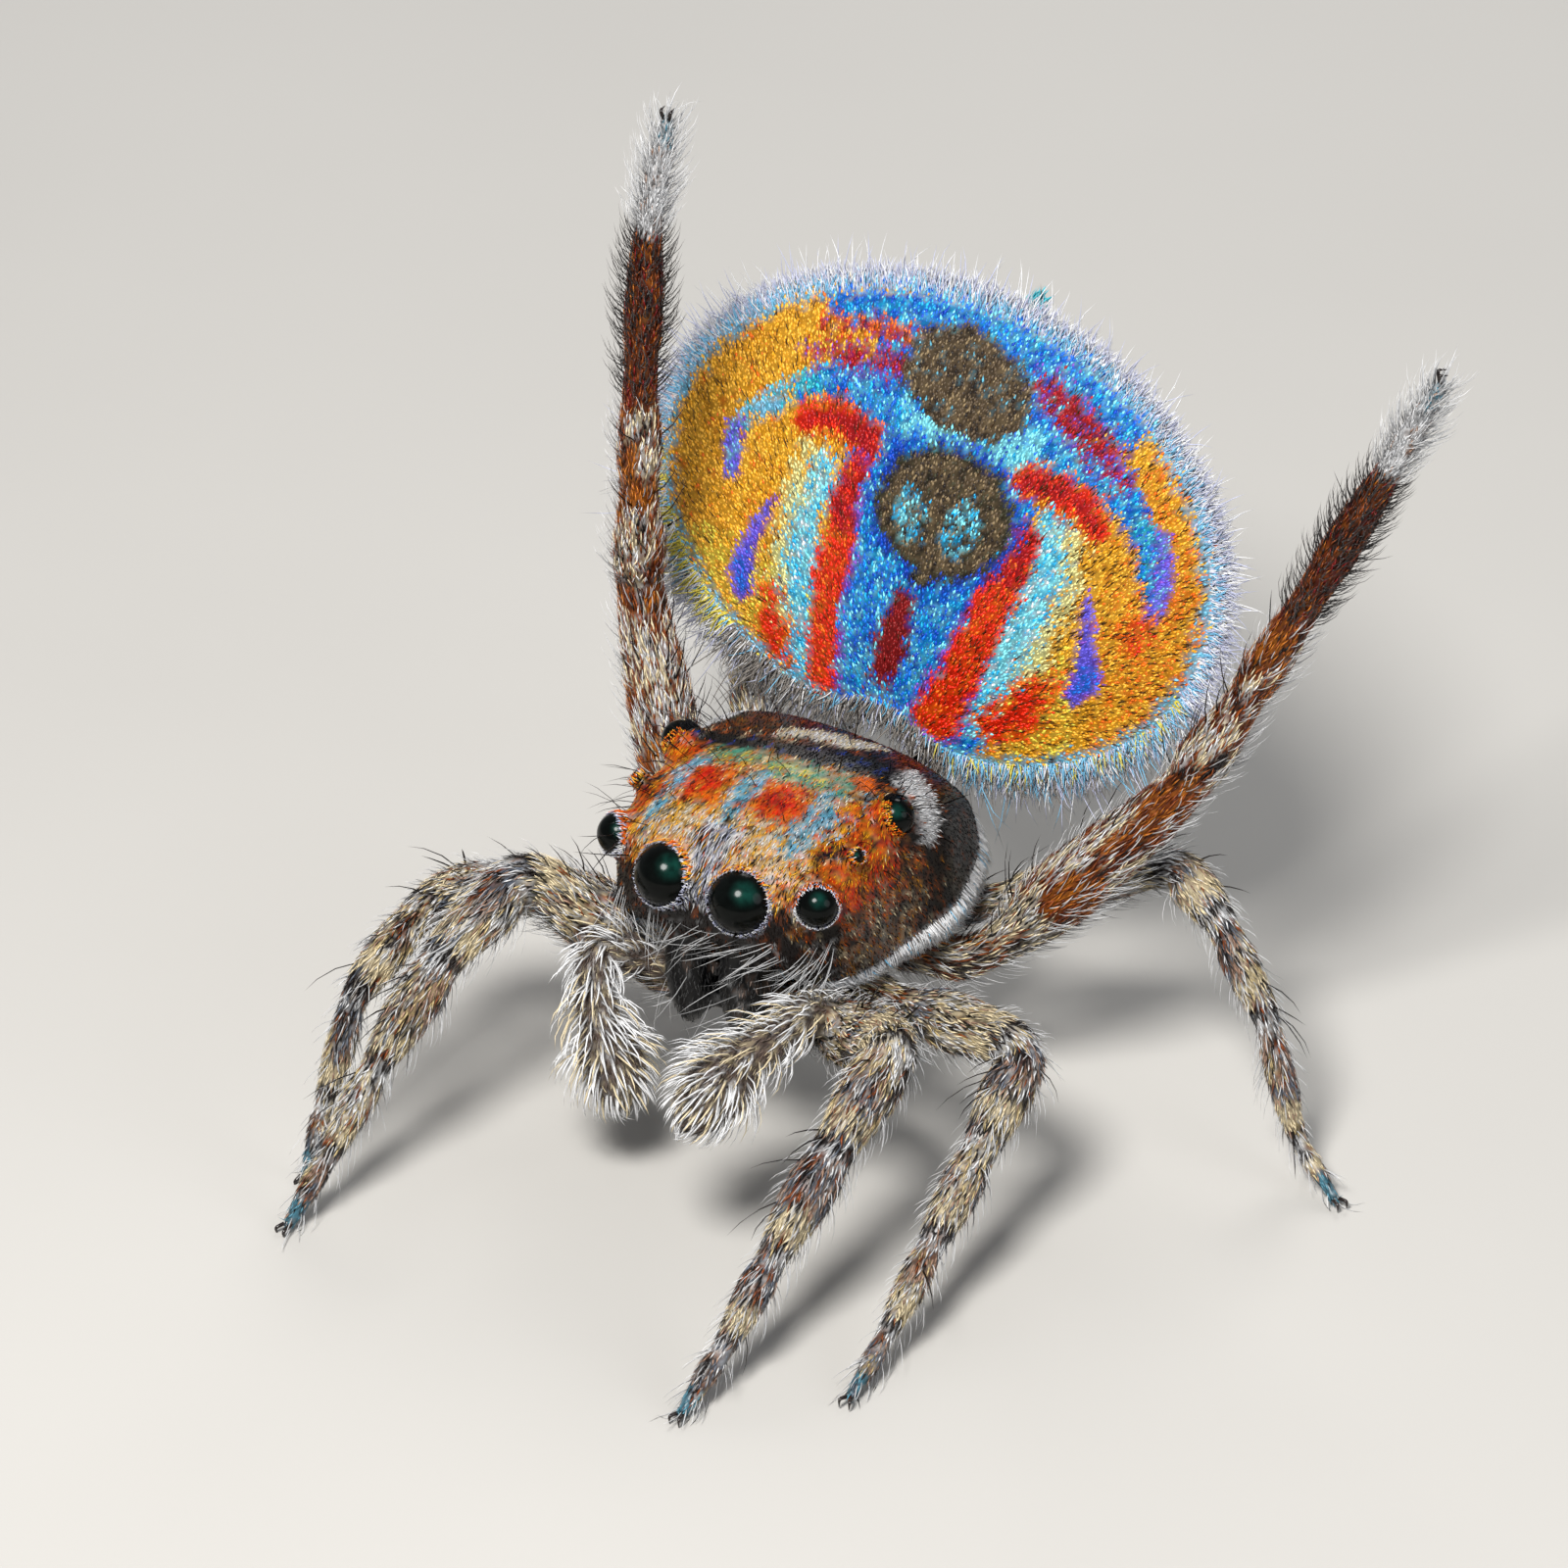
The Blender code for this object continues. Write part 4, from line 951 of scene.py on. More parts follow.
def carapace_colours(points, outs):
    """Colour of every hair on the carapace."""
    x, y, z = points.T
    count = len(x)
    wobble = ripple(points, 0.10, 9) * 0.02
    top = outs[:, 2] > 0.3

    def upper(depth):
        return np.where(top, depth + wobble, -1.0)

    tone = inked("dark", count)
    speckle(tone, True, rust=0.22)
    flecks = (y > -0.1) & (y + rng.normal(0, 0.10, count) < 0.80)
    speckle(tone, flecks, deep_gold=0.16)
    speckle(tone, flecks & (z > -0.3), orange=0.12)
    speckle(tone, flecks, cream=0.07)
    speckle(tone, flecks & (y < 0.5) & (z < -0.2), grey=0.16)
    front = upper(np.where(y < 0.60, 0.1, -0.1))
    paint(tone, front, 0.03, orange=0.55)
    speckle(tone, front > 0, bright_gold=0.34, cream=0.14, black=0.28)
    pale = upper(band(x, y, PALE_FRONT))
    paint(tone, pale, 0.04, bright_gold=0.5, cream=0.25, white=0.2, blue_black=0.14)
    paint(tone, upper(band(x, y, MIXED_SIDE)), 0.04, light_blue=0.3, white=0.25, gold=0.3)
    paint(tone, upper(band(x, y, GOLD_ROWS)), 0.03, deep_gold=0.6, green=0.35)
    for course in SKY_STRIPES:
        stripe = upper(band(x, y, course))
        paint(tone, stripe, 0.018, sky=0.9, light_blue=0.35, white=0.14, cream=0.10, black=0.18)
    for oval in GREEN_PATCHES:
        paint(tone, upper(spot(x, y, *oval)), green=0.6, yellow=0.15)
    for oval in RED_PATCHES:
        depth = upper(spot(x, y, *oval))
        paint(tone, depth + 0.02, 0.03, orange=0.7)
        paint(tone, depth, 0.03, red=0.75)
        paint(tone, depth, black=0.16)
    dark = upper(band(x, y, DARK_BAND))
    paint(tone, dark, black=1)
    paint(tone, dark - 0.03, 0.01, deep_blue=0.05)
    speckle(tone, (y > 0.80) & top & (dark < 0), black=0.7, rust=0.22)
    paint(tone, upper(band(x, y, CREAM_BAND)), 0.015, cream=0.95, white=0.5)
    paint(tone, upper(spot(x, y, *ORANGE_PATCH)), 0.01, orange=0.8)

    for sign in SIDES.values():
        aside = x * sign
        edge = np.where((aside > 0.55) & (y < 0.62) & (z > -0.12), 0.1, -1.0)
        paint(tone, edge, 0.0, orange=0.4, red=0.3, dark=0.15)
        for oval in GLEAMS:
            gleam = np.where((z > -0.05) & (aside > 0.4), spot(aside, y, *oval), -1.0)
            paint(tone, gleam, orange=0.6, gold=0.3, red=0.16, black=0.2)
        paint(tone, np.where(z > 0.0, band(aside, y, DARK_STREAK), -1.0), 0.01, blue_black=0.8)
        bare = (aside > 0.45) & (y + rng.normal(0, 0.07, count) > 0.84) & (z < 0.1)
        paint(tone, np.where(bare, 0.1, -1.0), 0.0, black=0.9)
        speckle(tone, bare & (ripple(points, 0.12, 21) > 0.3), rust=0.14)
        crescent = band(y, z, CRESCENT) + wobble
        paint(tone, np.where(aside > 0.5, crescent, -1.0), 0.015, white=0.9)
    paint(tone, np.where((y < 0.1) & (z < -0.12), 0.1, -1), 0.0, dark=0.75)
    nose = (np.abs(x) + rng.normal(0, 0.03, count) < 0.11) & (y < 0.10) & (z > -0.15)
    speckle(tone, nose, lavender=0.5, white=0.4, blue_black=0.2)
    return tone


def leg_ends(pair):
    """Where each part of a leg ends, from coxa to tarsus, as shares of its length."""
    lengths = np.array([COXA_LENGTH, *LEG_LENGTHS[pair]])
    return np.cumsum(lengths) / lengths.sum()


def leg_colours(share, over, pair, points):
    """Mottled scales along a leg, from its root to its tip; over is 1 on its upper line."""
    ends = leg_ends(pair)
    blotch = ripple(points, 0.26, pair)
    fine = ripple(points, 0.10, 40 + pair)
    if pair == 3:
        tone = inked("rust", len(share))
        speckle(tone, True, deep_rust=0.4)
        pale = blotch + fine > np.where(points[:, 0] < 0, -0.25, 0.30)
        speckle(tone, pale, cream=0.6, white=0.3)
        speckle(tone, fine < -0.75, dark=0.7)
        speckle(tone, blotch < -0.5, amber=0.45)
        speckle(tone, share < ends[1] * 0.62, cream=0.3, grey=0.2, dark=0.2)
        shaft = (share > ends[3]) & (share < ends[4])
        tone[shaft] = INK["deep_rust"]
        speckle(tone, shaft, rust=0.45)
        speckle(tone, shaft & (fine > 0.0), amber=0.3)
        speckle(tone, shaft, dark_red=0.12)
        speckle(tone, shaft & (share > (ends[3] + ends[4]) / 2), dark=0.35)
        speckle(tone, shaft, dark=0.2)
        foot = share > ends[4]
        tone[foot] = INK["white"]
        speckle(tone, foot, pale_brown=0.12)
        speckle(tone, foot & (share > 1 - (1 - ends[4]) * 0.3), steel=0.3)
        return tone
    tone = inked("pale_brown", len(share))
    speckle(tone, True, grey=0.25, white=0.25)
    speckle(tone, blotch > -0.15, beige=0.36)
    femur = share < ends[1]
    speckle(tone, femur & (over > -0.3), cream=0.35)
    speckle(tone, femur & (fine < 0.1), olive=0.4)
    speckle(tone, blotch > 0.2, cream=0.45)
    speckle(tone, (blotch < -0.3) & (fine < 0.5), slate=0.55)
    speckle(tone, (fine < -0.45) & (over > -0.2), rust=0.5)
    speckle(tone, blotch > 0.45, white=0.35)
    speckle(tone, fine < -0.85, dark=0.75)
    speckle(tone, True, dark=0.14)
    for end in ends[1:-1]:
        speckle(tone, np.abs(share - end) < 0.009, dark=0.8)
        speckle(tone, np.abs(share - end + 0.034) < 0.020, cream=0.7)
        speckle(tone, np.abs(share - end - 0.020) < 0.010, white=0.5)
    speckle(tone, share > 0.955, steel=0.7)
    return tone


# Materials


def add_node(tree, kind, settings=(), links=()):
    """A node with its settings, by property or socket name, and what feeds its sockets."""
    made = tree.nodes.new(kind)
    for key, value in dict(settings).items():
        if key in made.inputs:
            made.inputs[key].default_value = value
        else:
            setattr(made, key, value)
    for key, source in dict(links).items():
        tree.links.new(source, made.inputs[key])
    return made


def new_material(name, settings):
    """A material with its shader set, and its tree and shader to work on."""
    material = bpy.data.materials.new(name)
    material.use_nodes = True
    tree = material.node_tree
    shader = tree.nodes["Principled BSDF"]
    for key, value in settings.items():
        shader.inputs[key].default_value = value
    return material, tree, shader


def grain_noise(tree, size, **settings):
    """Noise on the object's own places, with grains of this size in millimetres."""
    where = add_node(tree, "ShaderNodeTexCoord")
    settings = {"Scale": 1 / (size * MM), "Detail": 3.0, **settings}
    return add_node(tree, "ShaderNodeTexNoise", settings, {"Vector": where.outputs["Object"]})


def marked_material(name, settings, grain, contrast, relief=0.0, roughness=0.6):
    """A finish that takes its colour from the markings, with a fine grain and some relief over it."""
    material, tree, shader = new_material(name, settings)
    marks = add_node(tree, "ShaderNodeAttribute", {"attribute_name": "Markings"})
    noise = grain_noise(tree, grain, Roughness=roughness)
    tone = add_node(
        tree, "ShaderNodeMapRange",
        {"From Min": 0.3, "From Max": 0.7, "To Min": 1 - contrast, "To Max": 1 + contrast},
        {"Value": noise.outputs["Fac"]},
    )
    shaded = add_node(
        tree, "ShaderNodeVectorMath", {"operation": "MULTIPLY"},
        {0: marks.outputs["Color"], 1: tone.outputs["Result"]},
    )
    tree.links.new(shaded.outputs["Vector"], shader.inputs["Base Color"])
    if relief:
        bump = add_node(
            tree, "ShaderNodeBump", {"Strength": 0.5, "Distance": relief * MM},
            {"Height": noise.outputs["Fac"]},
        )
        tree.links.new(bump.outputs["Normal"], shader.inputs["Normal"])
    return material


# Chitin of the skin, whose colour is the coat's markings darkened as painted shade: a little waxy, with the
# fine net of its cells, drawn coarse to show
skin_finish = marked_material(
    "waxy_chitin", {"Roughness": 0.32, "IOR": 1.55, "Specular IOR Level": 0.22}, 0.03, 0.35, 0.004,
)
# Flat coloured scales of chitin with a satin gloss that breaks into sparks
scale_finish = marked_material(
    "scale_chitin", {"Roughness": 0.36, "IOR": 1.56, "Specular IOR Level": 0.36}, 0.012, 0.25, 0.001,
)
# Fine hair that lies flat over the head: a duller chitin, so its colours stay deep
coat_finish = marked_material(
    "fine_hair", {"Roughness": 0.48, "IOR": 1.55, "Specular IOR Level": 0.10}, 0.012, 0.3, 0.001,
)
# Thin bare hairs of chitin: soft and pale, with a silky sheen along their edges
hair_finish = marked_material(
    "silky_hair", {"Roughness": 0.5, "IOR": 1.55, "Sheen Weight": 0.12, "Sheen Roughness": 0.4},
    0.02, 0.15, 0.001,
)
# Spines and claws: thick hardened chitin, near black and polished by its own wax
spine_finish = marked_material("hardened_chitin", {"Roughness": 0.25, "IOR": 1.56}, 0.02, 0.2, 0.001)
# Clear smooth cornea over a deep layer, black, with a dark green reflection painted into its colour in its
# upper part, where it faces the light
eye_finish = marked_material(
    "eye_cornea", {"Roughness": 0.15, "IOR": 1.5, "Specular IOR Level": 0.12}, 0.05, 0.5, roughness=0.5,
)


# Building

shapes, courses = body_shapes()
skin = skin_mesh(shapes)
nearest_label = label_finder(shapes)
labels = np.array([nearest_label(vert.co) for vert in skin.vertices])

# Distance between tufts in millimetres, by the first word of a part's label
SPACING = {
    "carapace": 0.0175, "sternum": 0.06, "belly": 0.036, "fan": 0.042, "spinnerets": 0.03,
    "pedicel": 0.05, "leg": 0.0245, "palp": 0.022, "jaw": 0.03,
}
points, outs, owners = sampled(skin, labels, SPACING)
parts = np.array([owner.split("_")[0] for owner in owners])
skin_colours = []


def remember(rows):
    """Keeps where each tuft grows and its colour, so that the skin below takes the same markings."""
    skin_colours.append((rows["root"], rows["colour"]))
    return rows


def fan_frame(across, along, deep):
    """Place, outward direction and the two directions in the fan's plane."""
    small = 1e-3
    at = fan_place(across, along, deep)
    right = unit(fan_place(across + small, along, deep) - at)
    up = unit(fan_place(across, along + small, deep) - at)
    return at, unit(np.cross(right, up)), right, up


def fan_marks_place(across, along):
    """Side and height of a place in the frame in which the marks are given."""
    x = across * math.cos(FAN_SWING) + along * math.sin(FAN_SWING) + FAN_AT[0]
    s = along * math.cos(FAN_SWING) - across * math.sin(FAN_SWING)
    return x, s


def fan_chart(across, along, spare=2.2):
    return chart_of(across / FAN_HALF_WIDTH / 2 + 0.5, along / FAN_HALF_LENGTH / spare + 0.5)


RADIAL_FROM = (-0.08, -1.05)
RADIAL_BELOW = 0.25


def radial(x, s, right, up):
    """The lie of the fan's scales: outwards and up from the middle of its lower edge."""
    dx, ds = x - RADIAL_FROM[0], s - RADIAL_FROM[1] + RADIAL_BELOW
    size = np.hypot(dx, ds)[:, None]
    return unit((right * dx[:, None] + up * ds[:, None]) / size)


# Scales on the front of the fan, in rows
PITCH = 0.0185
ROW_PITCH = PITCH * 0.87
FAN_INSET = 0.01
columns = np.arange(-FAN_HALF_WIDTH, FAN_HALF_WIDTH, PITCH)
lines = np.arange(-FAN_HALF_LENGTH - 0.05, FAN_HALF_LENGTH + 0.1, ROW_PITCH)
across, along = np.meshgrid(columns, lines)
across = (across + (np.arange(len(lines)) % 2)[:, None] * PITCH / 2).ravel()
along = along.ravel()
across = across + rng.uniform(-0.3, 0.3, len(across)) * PITCH
along = along + rng.uniform(-0.3, 0.3, len(along)) * PITCH
top, bottom = fan_edge(across)
keep = np.abs(across) < FAN_HALF_WIDTH - FAN_INSET
keep &= (along < top - FAN_INSET) & (along > bottom + FAN_INSET)
across, along = across[keep], along[keep]
at, out, right, up = fan_frame(across, along, COAT_DEPTH)
x, s = fan_marks_place(across, along)
tone = fan_colours(x, s, at)
reach = np.hypot(across / FAN_HALF_WIDTH, (along - FAN_MIDDLE) / FAN_HALF_LENGTH)
turn = np.arctan2((along - FAN_MIDDLE) / FAN_HALF_LENGTH, across / FAN_HALF_WIDTH)
inwards = (1 - reach) * 1.4
near_rim = inwards + rng.normal(0, 0.018, len(x))
speckle(tone, near_rim < 0.10, light_blue=0.6, sky=0.25)
speckle(tone, (near_rim < 0.10) & (s > 0.75) & (np.abs(x) < 1.0), blue=0.75, bright_cyan=0.25)
rim = near_rim < 0.05
tone[rim] = rim_colours(turn[rim], inwards[rim])
blue = tone[:, 2] > tone[:, 0]
tone *= 1 + np.where(blue, 0.34, 0.11)[:, None] * rng.uniform(-1, 1, (len(x), 1))
lies = radial(x, s, right, up)
chart = fan_chart(across, along)
scales = remember(tuft_rows(
    at, out, lies, 0.044, 0.0098, 16, -6, tone, chart,
    thick=0.4, shake=0.05, root_tone=np.where(blue, 0.6, 0.82),
))
# Thin dark dashes between the gold and the red scales
warm = ~blue & (inwards > 0.03) & (tone[:, 0] > 0.25)
dashes = lucky(len(x), np.where(warm, np.where(x > 0.2, 0.17, 0.09), 0.0))
tone = inked("dash", len(x), 0.5, 1.4)
thin = tuft_rows(at, out, lies, 0.072, 0.0030, 20, 4, tone, chart, thick=0.7)
rows = joined_rows((scales, picked(thin, dashes)))
aside = np.concatenate([x, x[dashes]])
for name, part in (("right", aside < FAN_AXIS), ("left", aside >= FAN_AXIS)):
    coat_piece(f"fan_scales_{name}", picked(rows, part), SCALE, scale_finish)

# The fringe round the fan: rows by their inset and depth, length of the hairs and their number
FRINGE = (
    (0.07, 0.012, 0.075, 1500),
    (0.04, 0.012, 0.085, 1700),
    (0.02, 0.02, 0.10, 1800),
    (0.01, 0.035, 0.11, 1700),
    (0.02, 0.055, 0.12, 1300),
    (0.01, 0.04, 0.21, 460),
)
# How much longer the hairs are by their direction from the fan's middle, in degrees
FRINGE_HEM = ((-180, -165, -140, -90, -60, -30, 0), (1.0, 1.5, 2.0, 1.3, 1.5, 1.2, 1.0))
groups = []
for inset, deep, length, count in FRINGE:
    turn = np.linspace(-math.pi, math.pi, count, endpoint=False) + rng.uniform(-0.003, 0.003, count)
    across = (FAN_HALF_WIDTH - inset) * np.cos(turn)
    along = (FAN_HALF_LENGTH - inset) * np.sin(turn)
    notch = FAN_NOTCH * np.exp(-((across / FAN_NOTCH_WIDTH) ** 2))
    along = along + np.where(along < 0, notch, 0.0) + FAN_MIDDLE
    at, out, right, up = fan_frame(across, along, deep)
    out_x, out_s = np.cos(turn) / FAN_HALF_WIDTH, np.sin(turn) / FAN_HALF_LENGTH
    lie = unit(right * out_x[:, None] + up * out_s[:, None])
    hem = np.interp(np.degrees(turn), *FRINGE_HEM)
    tone = rim_colours(turn, np.full(count, inset)) * rng.uniform(0.8, 1.1, count)[:, None]
    groups.append(tuft_rows(
        at, out, lie, length * hem, 0.0042, 16, 2, tone, fan_chart(across, along),
        thick=0.9, spread=0.24, sway=0.2, vary=0.35, shake=0.22, root_tone=0.85,
    ))
coat_piece("fan_fringe", remember(joined_rows(groups)), LONG_HAIR, hair_finish)

# Carapace
EYE_BALLS = [
    (np.array((sign * place[0], place[1], place[2])), radius)
    for _, radius, place, _ in EYES
    for sign in SIDES.values()
]


def off_the_eyes(rows):
    """Leaves out tufts whose middle or tip would lie across an eye."""
    keep = np.full(len(rows["root"]), True)
    for share in (0.5, 1.0):
        reach = (rows["length"] * share)[:, None]
        tip = rows["root"] + rows["lie"] * reach * 0.9 + rows["out"] * reach * 0.2
        for centre, radius in EYE_BALLS:
            keep &= np.linalg.norm(tip - centre, axis=1) > radius * 1.04
    return picked(rows, keep)


def carapace_chart(x, y, z):
    return chart_of(np.arctan2(z + 0.2, x) / (2 * math.pi) + 0.5, y / 2.1 + 0.1)


# Where its hairs turn from lying forwards to lying backwards
LIE_TURNS = 0.62
part = owners == "carapace"
at, out = points[part], outs[part]
x, y, z = at.T
colours = carapace_colours(at, out)
forward = arrows(x * 0.25, -1.0, -0.3)
backward = arrows(x * 0.4, 1.0, -0.5)
blend = (y + rng.normal(0, 0.02, len(y)) > LIE_TURNS).astype(float)[:, None]
side_way = np.clip((0.5 - out[:, 2]) / 0.4, 0, 1)[:, None]
lie = forward * (1 - blend) + backward * blend
lie = level(lie * (1 - side_way) + arrows(0 * x, 0.5, -1.0) * side_way, out)
tone = colours * rng.uniform(0.7, 1.25, len(x))[:, None]
bright = colours.sum(axis=1) > 1.2
nose = (np.abs(x) < 0.12) & (y < 0.08) & (z > -0.1)
size = np.where(nose, 0.085, np.where(bright, 0.050, 0.044))
thin = np.where(bright, 0.0044, 0.0038)
flank = (z < -0.05) & (y > 0.1) & (np.abs(x) > 0.55) & (margin_height(y, z) > MARGIN_BAND)
bare = flank & ~bright & lucky(len(x), np.where(y > 0.75, 0.25, 0.15))
rows = tuft_rows(
    at, out, lie, size, thin, 22, 2, tone, carapace_chart(x, y, z), thick=0.6, spread=0.13, root_tone=0.32,
)
rows = remember(off_the_eyes(picked(rows, ~bare)))
hind = rows["root"][:, 1] >= 0.5
for name, part in (("front", ~hind), ("hind", hind)):
    coat_piece(f"carapace_hairs_{name}", picked(rows, part), HAIR, coat_finish)

# The dense white band along the carapace's lower margin
at, out, _ = sampled(skin, labels, {"carapace": 0.0115})
height = margin_height(at[:, 1], at[:, 2])
reach = MARGIN_BAND * np.interp(at[:, 1], (0.0, 0.3, 0.9, 1.8), (0.15, 0.5, 1.0, 0.8))
part = (height < reach) & (height > -0.03) & (np.abs(at[:, 0]) > 0.25) & (at[:, 1] > 0.05)
at, out = at[part], out[part]
x, y, z = at.T
lie = level(unit(arrows(0.6 * np.sign(x), 0.15, -1.0)), out)
tone = inked("white", len(x), 0.75, 1.1)
speckle(tone, True, light_blue=0.06, grey=0.06)
rows = tuft_rows(
    at, out, lie, 0.12, 0.0042, 40, 14, tone, carapace_chart(x, y, z), spread=0.2, root_tone=0.85,
)
coat_piece("margin_band", remember(rows), HAIR, hair_finish)

# Short hairs that hug each eye's edge, and the long gold lashes over the big front pair: rows by their
# distance ahead of the collar's middle, as a share of the eye's radius
EYE_ROWS = (0.50, 0.40, 0.28, 0.12)
EYE_HAIR_GAP = 0.0075
groups = []
for name, radius, place, look in EYES:
    count = int(2 * math.pi * radius / EYE_HAIR_GAP)
    for sign in SIDES.values():
        centre, size, gaze = collar_ball(sign, radius, place, look)
        gaze, centre = np.array(gaze), np.array(centre)
        level_side = unit(np.cross(gaze, (0.0, 0.0, 1.0)))
        level_up = np.cross(level_side, gaze)
        for row, ahead in enumerate(EYE_ROWS):
            height = ahead * radius
            ring = math.sqrt((size - COAT_DEPTH) ** 2 - height**2)
            turn = np.linspace(0, 2 * math.pi, count, endpoint=False) + rng.uniform(-0.04, 0.04, count)
            outward = np.cos(turn)[:, None] * level_side + np.sin(turn)[:, None] * level_up
            here = centre + outward * ring + gaze * height
            normal = unit(here - centre)
            lie = level(np.tile(gaze, (count, 1)), normal)
            tone = inked("lavender", count)
            speckle(tone, True, white=0.4, dark=0.12 + 0.12 * row)
            length = np.full(count, 0.042)
            lift = 50.0 - 10.0 * row
            above = np.sin(turn) > 0.25
            if name.startswith("anterior"):
                lift = np.where(np.sin(turn) < 0.1, 76.0 - 14.0 * row, lift)
            if name == "anterior_median" and row > 0:
                speckle(tone, above, orange=0.5, bright_gold=0.5)
                length = np.where(above, 0.07, length)
            if name == "anterior_lateral":
                speckle(tone, np.sin(turn) < 0, white=0.6)
                speckle(tone, (np.sin(turn) > 0) & (row > 0), orange=0.6)
            if name == "posterior_median":
                speckle(tone, True, bright_gold=0.5, orange=0.3, dark=0.2)
            if name == "posterior_lateral":
                tone = inked("black", count)
                front = outward[:, 1] < -0.3
                speckle(tone, front, orange=0.5, bright_gold=0.3)
                length = np.where(front, 0.02, length)
                lift = np.where(front, 64.0 - 8.0 * row, lift)
            chart = chart_of(turn / (2 * math.pi), np.full(count, 0.02 + len(groups) * 0.028))
            groups.append(tuft_rows(
                here, normal, lie, length, 0.0042, lift, -4, tone, chart, thick=0.8, spread=0.2,
            ))
coat_piece("eye_lashes", remember(joined_rows(groups)), HAIR, coat_finish)

# Face below the eyes, jaws and sternum
part = (parts == "jaw") | (parts == "sternum") | (parts == "pedicel")
at, out = points[part], outs[part]
lie = level(np.tile((0.0, -0.1, -1.0), (len(at), 1)), out)
tone = inked("black", len(at))
speckle(tone, True, pink_brown=0.03)
chart = chart_of(at[:, 0] + 0.5, at[:, 1] / 2.2 + 0.2)
short = tuft_rows(at, out, lie, 0.05, 0.005, 20, 5, tone, chart)
face = (parts == "carapace") & (points[:, 1] < 0.10) & (points[:, 2] < -0.22) & (outs[:, 1] < -0.1)
jaws = (parts == "jaw") & (outs[:, 1] < -0.3)
keep = lucky(len(points), np.where(face, 0.055, np.where(jaws, 0.02, 0.0)))
at, out = points[keep], outs[keep]
aside = np.interp(at[:, 0], (-0.3, -0.05, 0.2), (0.1, -1.0, -2.2))
tone = inked("white", len(at), 0.35, 1.0)
chart = chart_of(at[:, 0] / 1.6 + 0.5, at[:, 2] + 0.6)
long = off_the_eyes(tuft_rows(
    at, out, level(arrows(aside, -0.25, -1.0), out), 0.34, 0.0024, 28, 2, tone, chart,
    thick=0.9, spread=0.16, vary=0.3, sway=0.1, shake=0.06,
))
coat_piece("face_hairs", remember(joined_rows((short, long))), LONG_HAIR, hair_finish)

# Belly, hind side of the fan and spinnerets
FRONT_DEPTH = 0.045
part = (parts == "belly") | (parts == "fan") | (parts == "spinnerets")
across, along, deep = fan_find(points[part])
behind = deep >= FRONT_DEPTH
at, out, own = (value[part][behind] for value in (points, outs, parts))
across, along, deep = across[behind], along[behind], deep[behind]
_, _, right, up = fan_frame(across, along, deep)
lie = level(radial(*fan_marks_place(across, along), right, up), out)
tone = inked("belly", len(at), 0.6, 1.15)
speckle(tone, True, white=0.25)
speckle(tone, own == "fan", cream=0.35)
speckle(tone, own == "belly", pink_brown=0.2)
speckle(tone, own == "spinnerets", turquoise=0.8)
size = np.where(own == "fan", 0.085, 0.11)
rows = tuft_rows(at, out, lie, size, 0.0085, 24, 2, tone, fan_chart(across, along, 2.3), spread=0.25)
coat_piece("belly_fur", remember(rows), HAIR, hair_finish)

# Palps: length and lift of the long bristles by their share of the way along
BRISTLE_LENGTHS = ((0.3, 0.6, 0.78, 0.95), (0.17, 0.24, 0.24, 0.12))
BRISTLE_LIFTS = ((0.3, 0.6, 0.8, 0.95), (52.0, 66.0, 62.0, 45.0))
groups = []
for side in SIDES:
    part = owners == f"palp_{side}"
    at, out = points[part], outs[part]
    share, ahead = along_course(at, courses[f"palp_{side}"])
    lie = level(ahead + np.array((0, 0, -0.15)), out)
    around = np.arctan2(out[:, 2], out[:, 0]) / (2 * math.pi) + 0.5
    chart = chart_of(share, (around + (side == "left")) / 2)
    tone = inked("pink_brown", len(at), 0.3, 0.9)
    speckle(tone, True, cream=0.22)
    groups.append(tuft_rows(at, out, lie, 0.06, 0.0045, 28, 5, tone, chart, root_tone=0.3))
    long = lucky(len(at), np.where(share > 0.3, 0.26, 0.12))
    at, out, lie, share, chart = (value[long] for value in (at, out, lie, share, chart))
    tone = inked("white", len(at), 0.8, 1.15)
    speckle(tone, True, cream=0.2)
    reach = np.interp(share, *BRISTLE_LENGTHS)
    lift = np.interp(share, *BRISTLE_LIFTS)
    groups.append(tuft_rows(
        at, out, lie, reach, 0.0074, lift, 2, tone, chart,
        thick=0.8, spread=0.12, vary=0.22, sway=0.08, root_tone=0.7,
    ))
coat_piece("palp_hairs", remember(joined_rows(groups)), LONG_HAIR, hair_finish)

